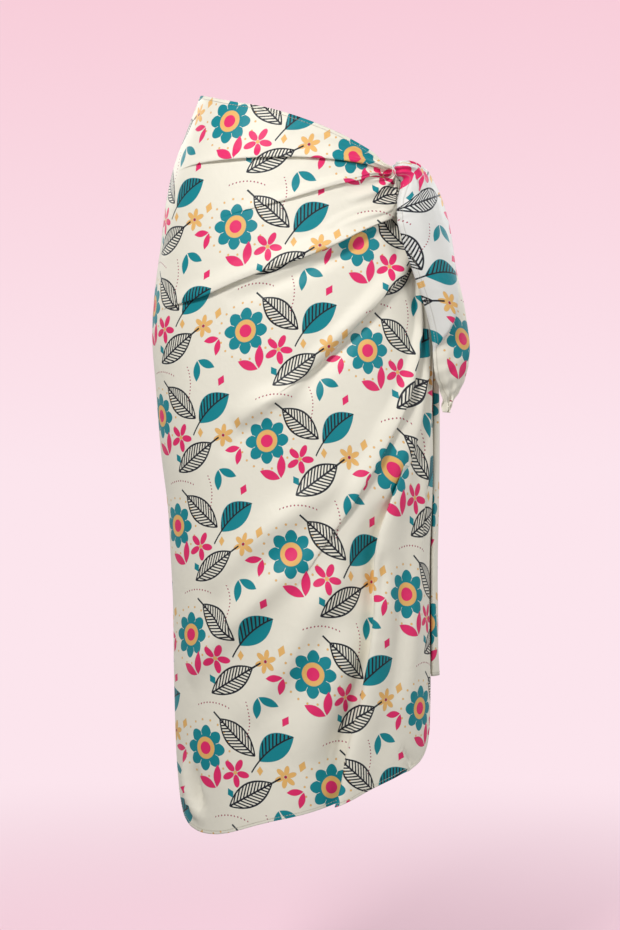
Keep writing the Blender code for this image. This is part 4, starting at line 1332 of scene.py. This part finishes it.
def cloth_material(name, group, ground, fading):
    """Printed satin: the print on its ground, a fine weave and a soft sheen; paler ink on the wrong side."""
    shine = {"Specular_IOR_Level": 0.3, "Sheen_Weight": 0.08, "Sheen_Roughness": 0.4}
    material, tree, shader = new_material(name, **shine)
    place = add_node(tree, "UVMap", {}, uv_map="cloth").outputs[0]
    u, v = flat_place(tree, place)
    ink = add_node(tree, "Group", {"Cloth": place}, node_tree=group)
    base = mixed(tree, Field(ink.outputs["Cover"]) * (1 - fading), ground, ink.outputs["Ink"])
    base = mixed(tree, 1.0, base, ranged(tree, noise(tree, place, 14.0, 3.0), 0.955, 1.03), "MULTIPLY")

    warp = Field.math("SINE", u * (2 * np.pi / WARP_PITCH))
    weft = Field.math("SINE", (v + u * WEFT_SLANT) * (2 * np.pi / WEFT_PITCH))
    slub = noise(tree, place, 320.0)
    weave = warp * weft * 0.35 + Field(slub) * 0.5
    crinkle = noise(tree, place, 42.0, 4.0, 0.6)

    edge = Field(add_node(tree, "Attribute", {}, attribute_name=EDGE_NAME).outputs["Fac"])
    from_seam = edge - HEM_DEPTH * MM
    groove = inked(abs(from_seam) - 0.0004, 0.0006)
    hem = bump(tree, inked(from_seam, 0.0009) - groove * 0.7, 0.9, 0.0006)
    fine = bump(tree, weave, 0.16, 0.0004, Normal=hem)
    # The base colour darkens along the hem's groove: painted shade in the groove, partly wear
    feed(tree, shader, {
        "Base Color": mixed(tree, groove * 0.35, base, GROOVE_PAINTED_SHADE),
        "Roughness": ranged(tree, slub, 0.42, 0.56),
        "Normal": bump(tree, crinkle, 0.5, 0.0016, Normal=fine),
    })
    return material


def thread_material():
    """Spun thread, with a fine twist."""
    material, tree, shader = new_material("hem_thread", Roughness=0.6)
    twist = noise(tree, add_node(tree, "TexCoord", {}).outputs["Object"], 2600.0)
    feed(tree, shader, {
        "Base Color": mixed(tree, 1.0, THREAD, ranged(tree, twist, 0.75, 1.1), "MULTIPLY"),
        "Normal": bump(tree, twist, 1.0, 0.0001),
    })
    return material


def backdrop_material():
    """Glows by itself, a little deeper in tone towards the top, and looks the same from all sides."""
    plain = {"Base_Color": (0, 0, 0, 1), "Roughness": 1.0, "Specular_IOR_Level": 0.0, "Emission_Strength": 1.0}
    material, tree, shader = new_material("backdrop", **plain)
    place = add_node(tree, "SeparateXYZ", {0: add_node(tree, "TexCoord", {}).outputs["Object"]})
    low, high = BACKDROP_FADE
    rise = add_node(tree, "MapRange", {"Value": place.outputs["Z"], "From Min": low, "From Max": high})
    feed(tree, shader, {"Emission Color": mixed(tree, rise.outputs[0], BACKDROP, BACKDROP_TOP)})
    return material


def floor_material():
    """A plain matt floor that turns into the backdrop's tone far from the middle."""
    plain = {"Base_Color": (*FLOOR, 1), "Roughness": 0.9, "Specular_IOR_Level": 0.1}
    material, tree, shader = new_material("floor", **plain)
    place = add_node(tree, "TexCoord", {}).outputs["Object"]
    length = add_node(tree, "VectorMath", {0: place}, operation="LENGTH").outputs["Value"]
    low, high = FLOOR_FADE
    inputs = {"Value": length, "From Min": low, "From Max": high}
    far = add_node(tree, "MapRange", inputs, interpolation_type="SMOOTHSTEP").outputs[0]
    glow = add_node(tree, "Emission", {"Color": (*BACKDROP, 1)}).outputs[0]
    mix = add_node(tree, "MixShader", {0: far, 1: shader.outputs[0], 2: glow}).outputs[0]
    feed(tree, tree.nodes["Material Output"], {"Surface": mix})
    return material


def add_camera():
    data = bpy.data.cameras.new("camera")
    data.lens = CAMERA_LENS
    data.sensor_fit = "VERTICAL"
    data.sensor_height = CAMERA_SENSOR
    camera = new_object("camera", data)
    camera.location = CAMERA_PLACE
    camera.rotation_euler = (np.radians(90), 0, 0)
    bpy.context.scene.camera = camera


def add_area_light(name, location, size, power, colour):
    data = bpy.data.lights.new(name, "AREA")
    data.shape = "DISK"
    data.size = size
    data.energy = power
    data.color = colour
    light = new_object(name, data)
    light.location = location
    aim = np.array(LIGHTS_AIM) - location
    light.rotation_euler = (np.arctan2(np.hypot(*aim[:2]), -aim[2]), 0, np.arctan2(aim[1], aim[0]) - np.pi / 2)


def stage_object(name, build, material, **sizes):
    """A stage piece that casts no light on the cloth."""
    mesh = bpy.data.meshes.new(name)
    form = bmesh.new()
    build(form, **sizes)
    form.to_mesh(mesh)
    form.free()
    mesh.materials.append(material)
    obj = new_object(name, mesh)
    obj.visible_diffuse = False
    obj.visible_glossy = False
    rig.stage(obj)
    return obj


def add_studio():
    sphere = {"u_segments": 64, "v_segments": 32, "radius": DOME_RADIUS}
    dome = stage_object("backdrop", bmesh.ops.create_uvsphere, backdrop_material(), **sphere)
    dome.visible_shadow = False
    square = {"x_segments": 1, "y_segments": 1, "size": FLOOR_SIDE / 2}
    floor = stage_object("floor", bmesh.ops.create_grid, floor_material(), **square)
    floor.location = (0, 0, CAD_BOX[0][2] - FLOOR_DROP)
    world = bpy.data.worlds.new("studio")
    world.use_nodes = True
    background = world.node_tree.nodes["Background"]
    feed(world.node_tree, background, {"Color": (*WORLD_COLOUR, 1), "Strength": WORLD_STRENGTH})
    bpy.context.scene.world = world
    for light in LIGHTS:
        add_area_light(*light)
    bpy.context.scene.view_settings.view_transform = "Standard"


def main():
    add_camera()
    add_studio()
    group = print_group()
    right_side = cloth_material("printed_right_side", group, GROUND, 0.0)
    wrong_side = cloth_material("printed_wrong_side", group, GROUND, WRONG_SIDE_FADING)
    tail_side = cloth_material("printed_tail_side", group, COOL_GROUND_WITH_PAINTED_SHADE, 0.0)
    tail_wrong = cloth_material("printed_tail_wrong_side", group, COOL_GROUND_WITH_PAINTED_SHADE, WRONG_SIDE_FADING)

    wrap, wrap_seams = wrap_cloth((right_side, wrong_side))
    ear, ear_seams = ear_cloth((tail_side, tail_wrong, right_side, wrong_side))
    fall, fall_seams = fall_cloth((right_side, wrong_side))
    knot = knot_cloth((tail_side,))
    stitches = hem_stitches(wrap_seams + ear_seams + fall_seams, thread_material())
    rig.ride(stitches, BODY)
    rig.slot(stitches, "printed_cloth")
    for piece, nodes, slot in (
        (wrap, ("front_wrap", "back_wrap"), "printed_cloth"),
        (ear, ("front_tail",), "tail_cloth"),
        (fall, ("back_tail",), "tail_cloth"),
        (knot, ("knot",), "tail_cloth"),
    ):
        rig.ride(piece, BODY)
        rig.replaces(piece, *nodes)
        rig.slot(piece, slot)
    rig.sheet(wrap, flat=(1.20, 0.98), held="draped", rests_on=[knot], with_pieces=[stitches])
    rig.sheet(ear, flat=(0.17, 0.36), held="hung", rests_on=[knot])
    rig.sheet(fall, flat=(0.13, 0.68), held="hung", rests_on=[knot])


main()
sizes = {"cad": [list(map(float, corner)) for corner in CAD_BOX]}
sizes["visual"] = [list(map(float, corner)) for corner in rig.bounds()]
with open(SIZE_FILE, "w") as out:
    json.dump(sizes, out)
